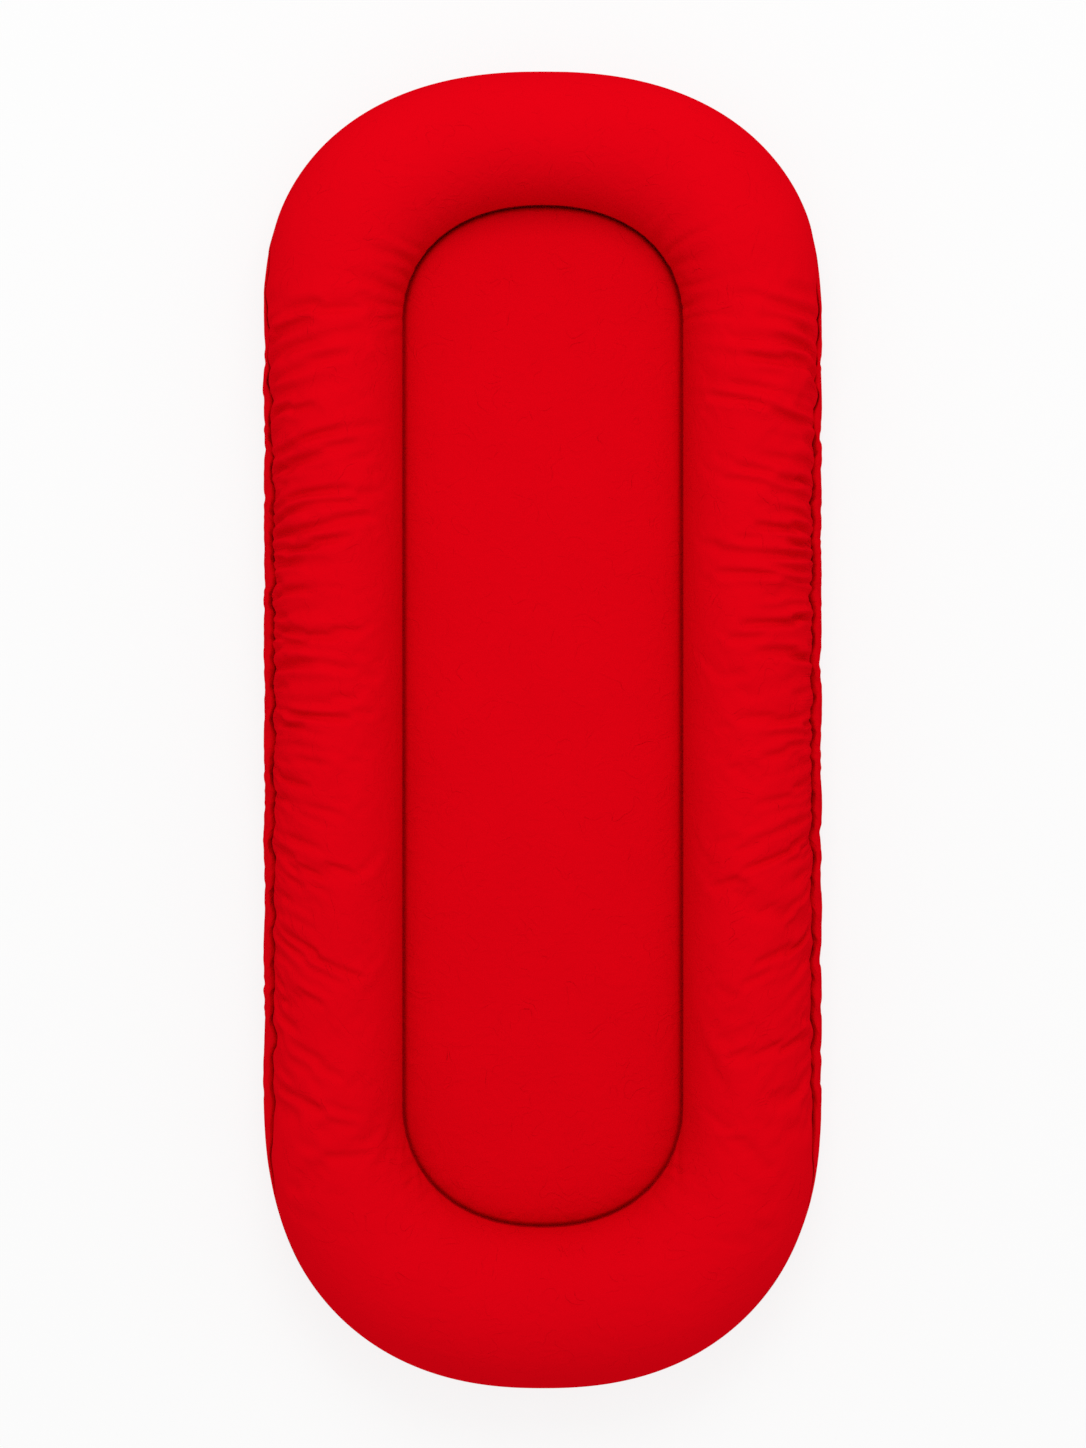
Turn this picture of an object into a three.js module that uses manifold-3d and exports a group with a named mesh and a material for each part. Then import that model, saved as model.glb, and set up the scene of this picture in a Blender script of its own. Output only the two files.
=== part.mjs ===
// Infant lounger: a fibre-filled bolster ring round a flat pad, both inside one sewn cover that
// zips open along the middle of its base. Millimetres, +Z up, +Y towards the head end, with the
// origin on the floor under the middle of the lounger.
import * as THREE from 'three';
import { mergeVertices } from 'three/addons/utils/BufferGeometryUtils.js';
import Module from 'manifold-3d';

const wasm = await Module();
wasm.setup();

// Plan of the lounger
const loungerLength = 1050;
const loungerWidth = 445;
const headRoundDepth = 190;
const footRoundDepth = 228;
const outlinePower = 2.3;

// Plan of the bolster ring, which is fuller at the foot end
const bolsterSideWidth = 112;
const bolsterHeadWidth = 108;
const bolsterFootWidth = 131;
const padHeadRoundDepth = 94.5;
const padFootRoundDepth = 100;
const padOutlinePower = 2.2;

// Section of the bolster
const bolsterHeight = 115;
const waistHeight = 58;
const lowerRoundDepth = 68;
const creaseHeight = 42;
const wallBendHeight = 25;
const sideSeamHeight = 44;
const sideSeamTuck = 1.5;

// Lower side band: it stands out past the bolster, most of all along the gathered sides, and
// this reach fades over the first share of each rounded end
const bandBulgeHeight = 25;
const bandSideReach = 9;
const bandEndReach = 2;
const bandFootTurn = 22;
const bandFadeShare = 0.25;
const bandFadePower = 1.5;

// Pad: heights of its top at shares of the way from its middle to the crease
const padCrownHeight = 50;
const padPlanShares = [0.25, 0.6, 0.87, 0.965];
const padDropShares = [0, 0.08, 0.3, 0.62];

// The base is drawn up under the pad, so the zip hangs clear of the floor
const recessHeight = 9;

// Cloths, elastic and the room between pieces that touch
const coverCloth = 1.2;
const casingCloth = 0.8;
const elasticThickness = 0.8;
const elasticWidth = 8;
const elasticSeamMargin = 1;
const clothGap = 0.4;
const padEdgeGap = 0.5;

// Zip chain and its stops
const chainLength = 560;
const toothRowWidth = 2.4;
const toothRowDepth = 1.2;
const tapeWidth = 14;
const tapeThickness = 0.5;
const tapeTail = 20;
const slotWidth = 14;
const slotEndRoom = 10;
const stopLength = 3;
const zipGap = 0.3;

// Zip slider and pull
const sliderLength = 11;
const sliderShoulderWidth = 9.6;
const sliderTailWidth = 7.8;
const sliderCorner = 1.4;
const sliderPlate = 0.8;
const sliderLip = 0.7;
const sliderLipLength = 7.5;
const postWidth = 0.9;
const postLength = 2.6;
const sliderEndPlay = 0.5;
const bridgeLength = 8;
const bridgeWidth = 1.6;
const bridgeBar = 0.8;
const pullAxleRadius = 0.55;
const pullAxleDrop = 1.2;
const pullLength = 24;
const pullWidth = 7;
const pullThickness = 1.2;
const pullArmWidth = 1.4;
const pullArmSpread = 4.4;
const pullArmLength = 5;
const pullHoleRadius = 1.4;

// Number of steps round each quarter of an end, along each side and over the bolster's crown
const endSteps = 8;
const sideSteps = 8;
const crownSteps = 10;
const cornerSegments = 4;
const axleSegments = 8;

// Overrun of every cut and every joined piece
const overrun = 0.2;

// Sizes that follow from those above
const halfWidth = loungerWidth / 2;
const halfLength = loungerLength / 2;
const padHalfWidth = halfWidth - bolsterSideWidth;
const padHeadCentre = halfLength - bolsterHeadWidth - padHeadRoundDepth;
const padFootCentre = -(halfLength - bolsterFootWidth - padFootRoundDepth);
const outerHeadCentre = halfLength - headRoundDepth;
const outerFootCentre = -(halfLength - footRoundDepth);
const tubeDepth = coverCloth + clothGap;
const fillDepth = tubeDepth + casingCloth + clothGap;
const elasticRoom = elasticThickness + clothGap;

// Materials
const redCloth = new THREE.MeshStandardMaterial({ color: 0xd50313, roughness: 0.85, metalness: 0 });
const baseCloth = new THREE.MeshStandardMaterial({ color: 0xc00311, roughness: 0.9, metalness: 0 });
const whiteCloth = new THREE.MeshStandardMaterial({ color: 0xece9e2, roughness: 0.9, metalness: 0 });
const fibre = new THREE.MeshStandardMaterial({ color: 0xf5f4f0, roughness: 1, metalness: 0 });
const elasticBand = new THREE.MeshStandardMaterial({ color: 0xe8e6e0, roughness: 0.8, metalness: 0 });
const zipTape = new THREE.MeshStandardMaterial({ color: 0xb8020f, roughness: 0.8, metalness: 0 });
const zipTeeth = new THREE.MeshStandardMaterial({ color: 0xa8020e, roughness: 0.4, metalness: 0 });
const zipMetal = new THREE.MeshStandardMaterial({ color: 0xa4020d, roughness: 0.3, metalness: 0.6 });

const lounger = new THREE.Group();

// Adds one named piece to the lounger
function addPiece(name, geometry, material) {
  const piece = new THREE.Mesh(geometry, material);
  piece.name = name;
  lounger.add(piece);
  return piece;
}

// Makes one closed body from points and triangles, and turns it inside out if its faces point in
function closedBody(points, triangles) {
  let volume = 0;
  for (const [a, b, c] of triangles) {
    volume += points[a].dot(new THREE.Vector3().crossVectors(points[b], points[c]));
  }
  const facing = volume < 0 ? triangles.map(([a, b, c]) => [a, c, b]) : triangles;
  const geometry = new THREE.BufferGeometry().setFromPoints(points);
  geometry.setIndex(facing.flat());
  return geometry;
}

// Turns a closed geometry into a solid that can be joined and cut
function toSolid(geometry) {
  const bare = geometry.clone();
  bare.deleteAttribute('normal');
  bare.deleteAttribute('uv');
  const merged = mergeVertices(bare);
  const vertProperties = new Float32Array(merged.attributes.position.array);
  const triVerts = new Uint32Array(merged.index.array);
  return new wasm.Manifold(new wasm.Mesh({ numProp: 3, vertProperties, triVerts }));
}

// Turns a joined or cut solid back into a geometry
function fromSolid(solid) {
  const mesh = solid.getMesh();
  const geometry = new THREE.BufferGeometry();
  geometry.setAttribute('position', new THREE.BufferAttribute(mesh.vertProperties, mesh.numProp));
  geometry.setIndex(new THREE.BufferAttribute(mesh.triVerts, 1));
  return geometry;
}

// A box given by two opposite corners
function boxBetween(one, other) {
  const size = new THREE.Vector3().subVectors(other, one);
  const middle = new THREE.Vector3().addVectors(one, other).multiplyScalar(0.5);
  const box = new THREE.BoxGeometry(Math.abs(size.x), Math.abs(size.y), Math.abs(size.z));
  return box.translate(middle.x, middle.y, middle.z);
}

// A point of a rounded-square outline, at an angle from the side towards the tip
function roundedPoint(angle, side, depth, power) {
  const across = Math.abs(Math.cos(angle)) ** (2 / power) * Math.sign(Math.cos(angle));
  const along = Math.abs(Math.sin(angle)) ** (2 / power) * Math.sign(Math.sin(angle));
  return new THREE.Vector2(side * across, depth * along);
}

// One station of the ring: where its line leaves the spine, meets the crease and ends outside
function station(crease, outer, gather) {
  const spineY = THREE.MathUtils.clamp(crease.y, padFootCentre, padHeadCentre);
  const spine = new THREE.Vector2(0, spineY);
  const inwards = new THREE.Vector2().subVectors(crease, spine);
  const outwards = new THREE.Vector2().subVectors(outer, crease);
  const reach = bandEndReach + (bandSideReach - bandEndReach) * gather;
  return {
    crease,
    padReach: inwards.length(),
    padDirection: inwards.normalize(),
    width: outwards.length(),
    direction: outwards.normalize(),
    bandReach: reach,
    gathered: gather === 1,
  };
}

// How strongly the gathers of the sides still show at a step round an end
function gatherAt(step) {
  return Math.max(0, 1 - step / (endSteps * bandFadeShare)) ** bandFadePower;
}

// Stations clockwise from the tip of the head end, so that station i mirrors station count - i
function makeStations() {
  const quarter = Math.PI / 2;
  const right = [];
  for (let step = endSteps; step > 0; step -= 1) {
    const angle = (step / endSteps) * quarter;
    const crease = roundedPoint(angle, padHalfWidth, padHeadRoundDepth, padOutlinePower);
    const outer = roundedPoint(angle, halfWidth, headRoundDepth, outlinePower);
    crease.y += padHeadCentre;
    outer.y += outerHeadCentre;
    right.push(station(crease, outer, gatherAt(step)));
  }
  for (let step = 0; step <= sideSteps; step += 1) {
    const share = step / sideSteps;
    const creaseY = THREE.MathUtils.lerp(padHeadCentre, padFootCentre, share);
    const outerY = THREE.MathUtils.lerp(outerHeadCentre, outerFootCentre, share);
    const crease = new THREE.Vector2(padHalfWidth, creaseY);
    const outer = new THREE.Vector2(halfWidth, outerY);
    right.push(station(crease, outer, 1));
  }
  for (let step = 1; step <= endSteps; step += 1) {
    const angle = (step / endSteps) * quarter;
    const crease = roundedPoint(angle, padHalfWidth, padFootRoundDepth, padOutlinePower);
    const outer = roundedPoint(angle, halfWidth, footRoundDepth, outlinePower);
    crease.y = padFootCentre - crease.y;
    outer.y = outerFootCentre - outer.y;
    right.push(station(crease, outer, gatherAt(step)));
  }
  const left = right.slice(1, -1).reverse().map((from) => ({
    ...from,
    crease: new THREE.Vector2(-from.crease.x, from.crease.y),
    direction: new THREE.Vector2(-from.direction.x, from.direction.y),
    padDirection: new THREE.Vector2(-from.padDirection.x, from.padDirection.y),
  }));
  return [...right, ...left];
}

const stations = makeStations();

// Places a point of a section, given as its way out past the crease line and its height
function place(at, point) {
  const direction = point.x < 0 ? at.padDirection : at.direction;
  return new THREE.Vector3(
    at.crease.x + direction.x * point.x,
    at.crease.y + direction.y * point.x,
    point.y,
  );
}

// Moves a path sideways, to its right as it is followed, so that each of its edges moves by depth
function offsetPath(points, depth, closed) {
  const count = points.length;
  const normals = points.map((point, i) => {
    const edge = new THREE.Vector2().subVectors(points[(i + 1) % count], point).normalize();
    return new THREE.Vector2(edge.y, -edge.x);
  });
  return points.map((point, i) => {
    const before = normals[(i + count - 1) % count];
    const after = normals[i];
    const first = !closed && i === 0;
    const last = !closed && i === count - 1;
    const left = first ? after : before;
    const right = last ? before : after;
    const amount = (Array.isArray(depth) ? depth[i] : depth) / (1 + left.dot(right));
    return point.clone().add(left.clone().add(right).multiplyScalar(amount));
  });
}

// Draws both ends of a path in along its own edges
function shortened(points, startGap, endGap) {
  const drawn = points.map((point) => point.clone());
  const last = points.length - 1;
  const startWay = new THREE.Vector2().subVectors(points[1], points[0]).setLength(startGap);
  const endWay = new THREE.Vector2().subVectors(points[last - 1], points[last]).setLength(endGap);
  drawn[0].add(startWay);
  drawn[last].add(endWay);
  return drawn;
}

// The bolster's own curve in section: zero is its inner side and half a turn its outer side
function bolsterPoint(half, angle) {
  const rise = Math.sin(angle) > 0 ? bolsterHeight - waistHeight : lowerRoundDepth;
  const out = half * (1 - Math.cos(angle));
  return new THREE.Vector2(out, waistHeight + rise * Math.sin(angle));
}

// The angle at which the bolster's inner side passes a height below its waist
function innerAngle(height) {
  return -Math.asin((waistHeight - height) / lowerRoundDepth);
}

// The whole outline of the bolster in section, clockwise from the crease, and where its parts start
function bolsterOutline(at) {
  const half = (at.width - at.bandReach) / 2;
  const start = innerAngle(creaseHeight);
  const end = Math.PI - innerAngle(sideSeamHeight);
  const outline = [];
  for (let step = 0; step <= crownSteps; step += 1) {
    outline.push(bolsterPoint(half, THREE.MathUtils.lerp(start, end, step / crownSteps)));
  }
  const seam = outline[crownSteps];
  seam.x -= sideSeamTuck;
  const eighth = Math.PI / 4;
  const foot = at.width - bandFootTurn;
  const upperBend = new THREE.Vector2(
    THREE.MathUtils.lerp(seam.x, at.width, Math.sin(eighth)),
    THREE.MathUtils.lerp(bandBulgeHeight, sideSeamHeight, Math.cos(eighth)),
  );
  const lowerBend = new THREE.Vector2(
    THREE.MathUtils.lerp(foot, at.width, Math.cos(eighth)),
    bandBulgeHeight * (1 - Math.sin(eighth)),
  );
  outline.push(upperBend);
  outline.push(new THREE.Vector2(at.width, bandBulgeHeight));
  outline.push(lowerBend);
  outline.push(new THREE.Vector2(foot, 0));
  outline.push(bolsterPoint(half, innerAngle(0)));
  outline.push(bolsterPoint(half, innerAngle(recessHeight)));
  outline.push(bolsterPoint(half, innerAngle(wallBendHeight)));
  return outline;
}

// Places in that outline
const creaseAt = 0;
const seamAt = crownSteps;
const bulgeAt = seamAt + 2;
const footAt = seamAt + 4;
const floorAt = footAt + 1;
const recessAt = footAt + 2;
const wallBendAt = footAt + 3;

// The outline with fewer points, which the casing and the fibre inside it follow
function plainOutline(at) {
  const outline = bolsterOutline(at);
  const kept = [];
  for (let index = creaseAt; index < seamAt; index += 2) kept.push(outline[index]);
  const plainSeamAt = kept.length;
  kept.push(outline[seamAt], outline[bulgeAt], outline[footAt], outline[floorAt], outline[recessAt]);
  return { kept, plainSeamAt };
}

// Two triangles between points a and b of one path and points c and d of the next. Layers that
// lie on each other are all split along the same diagonal, so the room between them stays even.
function addPatch(triangles, a, b, c, d, forward) {
  if (forward) triangles.push([a, b, d], [a, d, c]);
  else triangles.push([a, b, c], [b, d, c]);
}

// Whether an edge of a section runs the way of its outline: a solid's always does, and a cloth's
// does on its first side only, or on its last side only
const always = () => true;
const onFirstSide = (edge, count) => edge < count / 2;
const onLastSide = (edge, count) => edge >= count / 2;

// Joins sections, one at each station, into one closed body, as a ring or with two capped ends
function loft(sections, isRing, isForward) {
  const count = sections[0].length;
  const triangles = [];
  const spans = isRing ? sections.length : sections.length - 1;
  for (let span = 0; span < spans; span += 1) {
    const here = span * count;
    const next = ((span + 1) % sections.length) * count;
    for (let corner = 0; corner < count; corner += 1) {
      const after = (corner + 1) % count;
      const forward = isForward(corner, count);
      addPatch(triangles, here + corner, here + after, next + corner, next + after, forward);
    }
  }
  if (!isRing) {
    const end = (sections.length - 1) * count;
    for (let corner = 1; corner < count - 1; corner += 1) {
      triangles.push([0, corner + 1, corner]);
      triangles.push([end, end + corner, end + corner + 1]);
    }
  }
  return closedBody(sections.flat(), triangles);
}

// Joins rings of points, which lie inside one another, into one closed body. The first and the
// last ring are flat, and are filled from one side to the other.
function disc(rings, isForward) {
  const count = rings[0].length;
  const triangles = [];
  for (let ring = 0; ring < rings.length - 1; ring += 1) {
    const forward = isForward(ring + 1, rings.length);
    for (let i = 0; i < count; i += 1) {
      const here = ring * count + i;
      const next = ring * count + ((i + 1) % count);
      addPatch(triangles, here, here + count, next, next + count, forward);
    }
  }
  for (const [start, flip] of [[0, true], [(rings.length - 1) * count, false]]) {
    const face = (a, b, c) => {
      triangles.push(flip ? [start + a, start + c, start + b] : [start + a, start + b, start + c]);
    };
    face(0, count - 1, 1);
    for (let i = 1; i < count / 2 - 1; i += 1) {
      face(i, count - i, count - i - 1);
      face(i, count - i - 1, i + 1);
    }
    face(count / 2 - 1, count / 2 + 1, count / 2);
  }
  return closedBody(rings.flat(), triangles);
}

// A strip of cover cloth that follows the bolster's outline from one of its places to another
function coverAlong(at, from, to) {
  const outline = bolsterOutline(at);
  const inner = offsetPath(outline, coverCloth, true);
  const path = (loop) => shortened(loop.slice(from, to + 1), clothGap / 2, clothGap / 2);
  return [...path(outline), ...path(inner).reverse()].map((point) => place(at, point));
}

// The casing and the fibre keep more room at the side seam, where the elastic lies
function insideDepths(outline, seamIndex, depth) {
  return outline.map((_, index) => (index === seamIndex ? depth + elasticRoom : depth));
}

// The upper cover of the bolster, from the crease over its crown to the side seam
const coverSections = stations.map((at) => coverAlong(at, creaseAt, seamAt));
addPiece('bolster_cover', loft(coverSections, true, onFirstSide), redCloth);

// The lower side band, from the side seam to the base
const bandSections = stations.map((at) => coverAlong(at, seamAt, footAt));
addPiece('side_band', loft(bandSections, true, onFirstSide), redCloth);

// The wall between bolster and pad, from the base up to the crease
addPiece('inner_wall', loft(stations.map((at) => {
  const outline = bolsterOutline(at);
  const inner = offsetPath(outline, coverCloth, true);
  const lowEdge = recessHeight + coverCloth + 2 * clothGap;
  const share = (lowEdge - recessHeight) / (wallBendHeight - recessHeight);
  const path = (loop) => {
    const start = loop[recessAt].clone().lerp(loop[wallBendAt], share);
    return shortened([start, loop[wallBendAt], loop[creaseAt]], 0, clothGap / 2);
  };
  return [...path(outline), ...path(inner).reverse()].map((point) => place(at, point));
}), true, onFirstSide), whiteCloth);

// The inner pillow's casing: a top and a bottom panel, sewn together at the crease and side seam
function casingSection(at, isTop) {
  const { kept, plainSeamAt } = plainOutline(at);
  const outer = offsetPath(kept, insideDepths(kept, plainSeamAt, tubeDepth), true);
  const inner = offsetPath(kept, insideDepths(kept, plainSeamAt, tubeDepth + casingCloth), true);
  const path = (loop) => {
    const top = loop.slice(creaseAt, plainSeamAt + 1);
    const bottom = [...loop.slice(plainSeamAt), loop[creaseAt]];
    return shortened(isTop ? top : bottom, clothGap / 2, clothGap / 2);
  };
  return [...path(outer), ...path(inner).reverse()].map((point) => place(at, point));
}
for (const [name, isTop] of [['bolster_casing_top', true], ['bolster_casing_bottom', false]]) {
  const sections = stations.map((at) => casingSection(at, isTop));
  addPiece(name, loft(sections, true, onFirstSide), whiteCloth);
}

// The fibre that fills the bolster
addPiece('bolster_fill', loft(stations.map((at) => {
  const { kept, plainSeamAt } = plainOutline(at);
  const inner = offsetPath(kept, insideDepths(kept, plainSeamAt, fillDepth), true);
  return inner.map((point) => place(at, point));
}), true, always), fibre);

// Elastic sewn inside the side seams, on the upper cover, along the gathered stretch of each side
function elasticSection(at) {
  const outline = bolsterOutline(at);
  const strip = (depth) => {
    const loop = offsetPath(outline, depth, true);
    const way = new THREE.Vector2().subVectors(loop[seamAt - 1], loop[seamAt]);
    const low = loop[seamAt].clone().add(way.clone().setLength(elasticSeamMargin));
    const high = loop[seamAt].clone().add(way.setLength(elasticSeamMargin + elasticWidth));
    return [low, high];
  };
  const outer = strip(tubeDepth);
  const inner = strip(tubeDepth + elasticThickness);
  return [...outer, ...inner.reverse()].map((point) => place(at, point));
}
for (const [name, side] of [['elastic_right', 1], ['elastic_left', -1]]) {
  const along = stations.filter((at) => at.gathered && Math.sign(at.crease.x) === side);
  addPiece(name, loft(along.map(elasticSection), false, onLastSide), elasticBand);
}

// The pad's top in section, from its middle out to the crease
function padTop(at) {
  const fall = padCrownHeight - creaseHeight - coverCloth / 2;
  const path = padPlanShares.map((share, index) => new THREE.Vector2(
    -at.padReach * (1 - share),
    padCrownHeight - fall * padDropShares[index],
  ));
  const crease = bolsterOutline(at)[creaseAt];
  path.push(new THREE.Vector2(crease.x - padEdgeGap, padCrownHeight - fall));
  return path;
}

// Turns a path in section at every station into rings
function ringsOf(pathAt) {
  const paths = stations.map((at) => pathAt(at).map((point) => place(at, point)));
  return paths[0].map((_, index) => paths.map((path) => path[index]));
}

// The pad's top cover, sewn to the bolster's cover at the crease
addPiece('pad_cover', disc(ringsOf((at) => {
  const top = padTop(at);
  return [...top, ...offsetPath(top, coverCloth, false).reverse()];
}), onFirstSide), redCloth);

// The outline of the pad inside the cover, from the middle of its top round to its flat bottom
const sliderTop = recessHeight + coverCloth + clothGap + tapeThickness + zipGap + sliderPlate;
const padBottom = sliderTop + clothGap;
function padOutline(at) {
  const outline = bolsterOutline(at);
  const path = offsetPath(padTop(at), tubeDepth, false);
  const bend = outline[wallBendAt];
  const recess = outline[recessAt];
  const share = (wallBendHeight - padBottom - 2 * casingCloth) / (wallBendHeight - recessHeight);
  const low = bend.clone().lerp(recess, share);
  path.push(new THREE.Vector2(bend.x - padEdgeGap, bend.y));
  path.push(new THREE.Vector2(low.x - padEdgeGap, low.y));
  path.push(new THREE.Vector2(low.x - padEdgeGap - 4 * casingCloth, padBottom));
  return path;
}

// The same outline moved in by a depth, whose bottom stays flat
function padInside(at, depth) {
  const outline = padOutline(at);
  const middle = new THREE.Vector2(-at.padReach, padBottom);
  return offsetPath([...outline, middle], depth, false).slice(0, -1);
}
const padSideAt = padPlanShares.length + 1;

// The pad's casing: a top and a bottom panel, sewn together halfway up the pad's side
addPiece('pad_casing_top', disc(ringsOf((at) => {
  const path = (depth) => shortened(padInside(at, depth).slice(0, padSideAt + 1), 0, clothGap / 2);
  return [...path(0), ...path(casingCloth).reverse()];
}), onFirstSide), whiteCloth);
addPiece('pad_casing_bottom', disc(ringsOf((at) => {
  const path = (depth) => shortened(padInside(at, depth).slice(padSideAt), clothGap / 2, 0);
  return [...path(0).reverse(), ...path(casingCloth)];
}), onLastSide), whiteCloth);

// The fibre core of the pad
addPiece('pad_core', disc(ringsOf((at) => padInside(at, casingCloth + clothGap)), always), fibre);

// The base: flat under the bolster and drawn up under the pad, in two panels with the zip between
const baseBody = toSolid(disc(ringsOf((at) => {
  const outline = bolsterOutline(at);
  const middle = new THREE.Vector2(-at.padReach, recessHeight);
  const under = [outline[footAt], outline[floorAt], outline[recessAt], middle];
  const over = offsetPath(under, coverCloth, false);
  over[0] = offsetPath(outline, coverCloth, true)[footAt];
  const path = (points) => shortened(points, clothGap / 2, 0).slice(0, -1);
  return [...path(under).reverse(), ...path(over)];
}), onLastSide));
const slotHalfLength = chainLength / 2 + slotEndRoom;
const zipSlot = toSolid(boxBetween(
  new THREE.Vector3(-slotWidth / 2, -slotHalfLength, -overrun),
  new THREE.Vector3(slotWidth / 2, slotHalfLength, recessHeight + coverCloth + overrun),
));
for (const [name, side] of [['base_panel_right', 1], ['base_panel_left', -1]]) {
  const seamEdge = side * (clothGap / 2);
  const outerEdge = side * (halfWidth + overrun);
  const half = toSolid(boxBetween(
    new THREE.Vector3(seamEdge, -halfLength - overrun, -overrun),
    new THREE.Vector3(outerEdge, halfLength + overrun, bolsterHeight),
  ));
  addPiece(name, fromSolid(baseBody.intersect(half).subtract(zipSlot)), baseCloth);
}

// Heights in the zip, from the tape down to the pull's axle
const tapeBottom = recessHeight + coverCloth + clothGap;
const tapeTop = tapeBottom + tapeThickness;
const teethTop = tapeBottom - zipGap;
const teethBottom = teethTop - toothRowDepth;
const lowerPlateTop = teethBottom - zipGap;
const lowerPlateBottom = lowerPlateTop - sliderPlate;
const upperPlateBottom = tapeTop + zipGap;
const axleHeight = lowerPlateBottom - pullAxleDrop;
const teethEdge = postWidth / 2 + zipGap;
const teethOuterEdge = teethEdge + toothRowWidth;
const chainEnd = chainLength / 2;

// The zip's two tapes, each sewn along the inside of a base panel, with a row of teeth below
for (const [side, sign] of [['right', 1], ['left', -1]]) {
  const near = sign * teethEdge;
  const far = sign * teethOuterEdge;
  const tapeEnd = chainEnd + tapeTail;
  addPiece(`zip_tape_${side}`, boxBetween(
    new THREE.Vector3(near, -tapeEnd, tapeBottom),
    new THREE.Vector3(sign * (teethEdge + tapeWidth), tapeEnd, tapeTop),
  ), zipTape);
  addPiece(`zip_teeth_${side}`, boxBetween(
    new THREE.Vector3(near, -chainEnd, teethBottom),
    new THREE.Vector3(far, chainEnd, teethTop),
  ), zipTeeth);
  addPiece(`zip_top_stop_${side}`, boxBetween(
    new THREE.Vector3(near, -chainEnd - zipGap - stopLength, lowerPlateTop),
    new THREE.Vector3(far, -chainEnd - zipGap, teethTop),
  ), zipMetal);
}

// The stop that holds both rows together at the head end
addPiece('zip_bottom_stop', boxBetween(
  new THREE.Vector3(-teethOuterEdge, chainEnd + zipGap, lowerPlateTop),
  new THREE.Vector3(teethOuterEdge, chainEnd + zipGap + stopLength, teethTop),
), zipMetal);

// The outline of the slider's plates: wide at the shoulder, which faces the foot end
function sliderOutline() {
  const shoulder = sliderShoulderWidth / 2;
  const tail = sliderTailWidth / 2;
  const front = -sliderLength / 2;
  const back = sliderLength / 2;
  const shape = new THREE.Shape();
  shape.moveTo(-shoulder + sliderCorner, front);
  shape.lineTo(shoulder - sliderCorner, front);
  shape.quadraticCurveTo(shoulder, front, shoulder, front + sliderCorner);
  shape.lineTo(tail, back - sliderCorner);
  shape.quadraticCurveTo(tail, back, tail - sliderCorner, back);
  shape.lineTo(-tail + sliderCorner, back);
  shape.quadraticCurveTo(-tail, back, -tail, back - sliderCorner);
  shape.lineTo(-shoulder, front + sliderCorner);
  shape.quadraticCurveTo(-shoulder, front, -shoulder + sliderCorner, front);
  return shape;
}

// Extrudes an outline upwards from a height
function plateFrom(shape, bottom, thickness) {
  const options = { depth: thickness, bevelEnabled: false, curveSegments: cornerSegments };
  return toSolid(new THREE.ExtrudeGeometry(shape, options).translate(0, 0, bottom));
}

// The slider: two plates joined by a post, lips beside the teeth and a bridge for the pull
function sliderGeometry() {
  const lowerPlate = plateFrom(sliderOutline(), lowerPlateBottom, sliderPlate);
  const upperPlate = plateFrom(sliderOutline(), upperPlateBottom, sliderPlate);
  const front = -sliderLength / 2;
  const post = toSolid(boxBetween(
    new THREE.Vector3(-postWidth / 2, front + sliderPlate, lowerPlateTop - overrun),
    new THREE.Vector3(postWidth / 2, front + sliderPlate + postLength, upperPlateBottom + overrun),
  ));
  let body = lowerPlate.add(upperPlate).add(post);
  const lipOuter = sliderTailWidth / 2;
  const bridgeHalf = bridgeLength / 2;
  const barTop = axleHeight - pullAxleRadius - zipGap;
  const barBottom = barTop - bridgeBar;
  for (const sign of [1, -1]) {
    const lip = toSolid(boxBetween(
      new THREE.Vector3(sign * lipOuter, -sliderLipLength / 2, lowerPlateTop - overrun),
      new THREE.Vector3(sign * (lipOuter - sliderLip), sliderLipLength / 2, teethTop),
    ));
    const leg = toSolid(boxBetween(
      new THREE.Vector3(-bridgeWidth / 2, sign * bridgeHalf, barBottom),
      new THREE.Vector3(bridgeWidth / 2, sign * (bridgeHalf - bridgeBar), lowerPlateBottom + overrun),
    ));
    body = body.add(lip).add(leg);
  }
  const bar = toSolid(boxBetween(
    new THREE.Vector3(-bridgeWidth / 2, -bridgeHalf, barBottom),
    new THREE.Vector3(bridgeWidth / 2, bridgeHalf, barTop),
  ));
  return fromSolid(body.add(bar));
}

// The slider rests against the top stops at the foot end, where the zip is closed
const slider = addPiece('zip_slider', sliderGeometry(), zipMetal);
slider.position.y = -chainEnd + sliderEndPlay + sliderLength / 2;

// The pull: an axle under the bridge, two arms beside it and a flat tab with a hole
function pullGeometry() {
  const half = pullWidth / 2;
  const tab = new THREE.Shape();
  tab.moveTo(-half, pullArmLength);
  tab.lineTo(half, pullArmLength);
  tab.lineTo(half, pullLength - half);
  tab.absarc(0, pullLength - half, half, 0, Math.PI, false);
  const hole = new THREE.Path();
  hole.absarc(0, pullLength - half, pullHoleRadius, 0, 2 * Math.PI, true);
  tab.holes.push(hole);
  let body = plateFrom(tab, -pullThickness / 2, pullThickness);
  for (const sign of [1, -1]) {
    const middle = sign * pullArmSpread / 2;
    body = body.add(toSolid(boxBetween(
      new THREE.Vector3(middle - pullArmWidth / 2, -pullAxleRadius, -pullThickness / 2),
      new THREE.Vector3(middle + pullArmWidth / 2, pullArmLength + overrun, pullThickness / 2),
    )));
  }
  const axle = new THREE.CylinderGeometry(pullAxleRadius, pullAxleRadius, pullArmSpread, axleSegments);
  return fromSolid(body.add(toSolid(axle.rotateZ(Math.PI / 2))));
}

// The pull points to the head end and hangs down until its tip is just clear of the floor
const tipRise = axleHeight - pullThickness / 2 - zipGap;
const hangAngle = Math.asin(tipRise / pullLength);
const pull = addPiece('zip_pull', pullGeometry(), zipMetal);
pull.position.set(0, slider.position.y, axleHeight);
pull.rotation.x = -hangAngle;

export default lounger;
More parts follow.
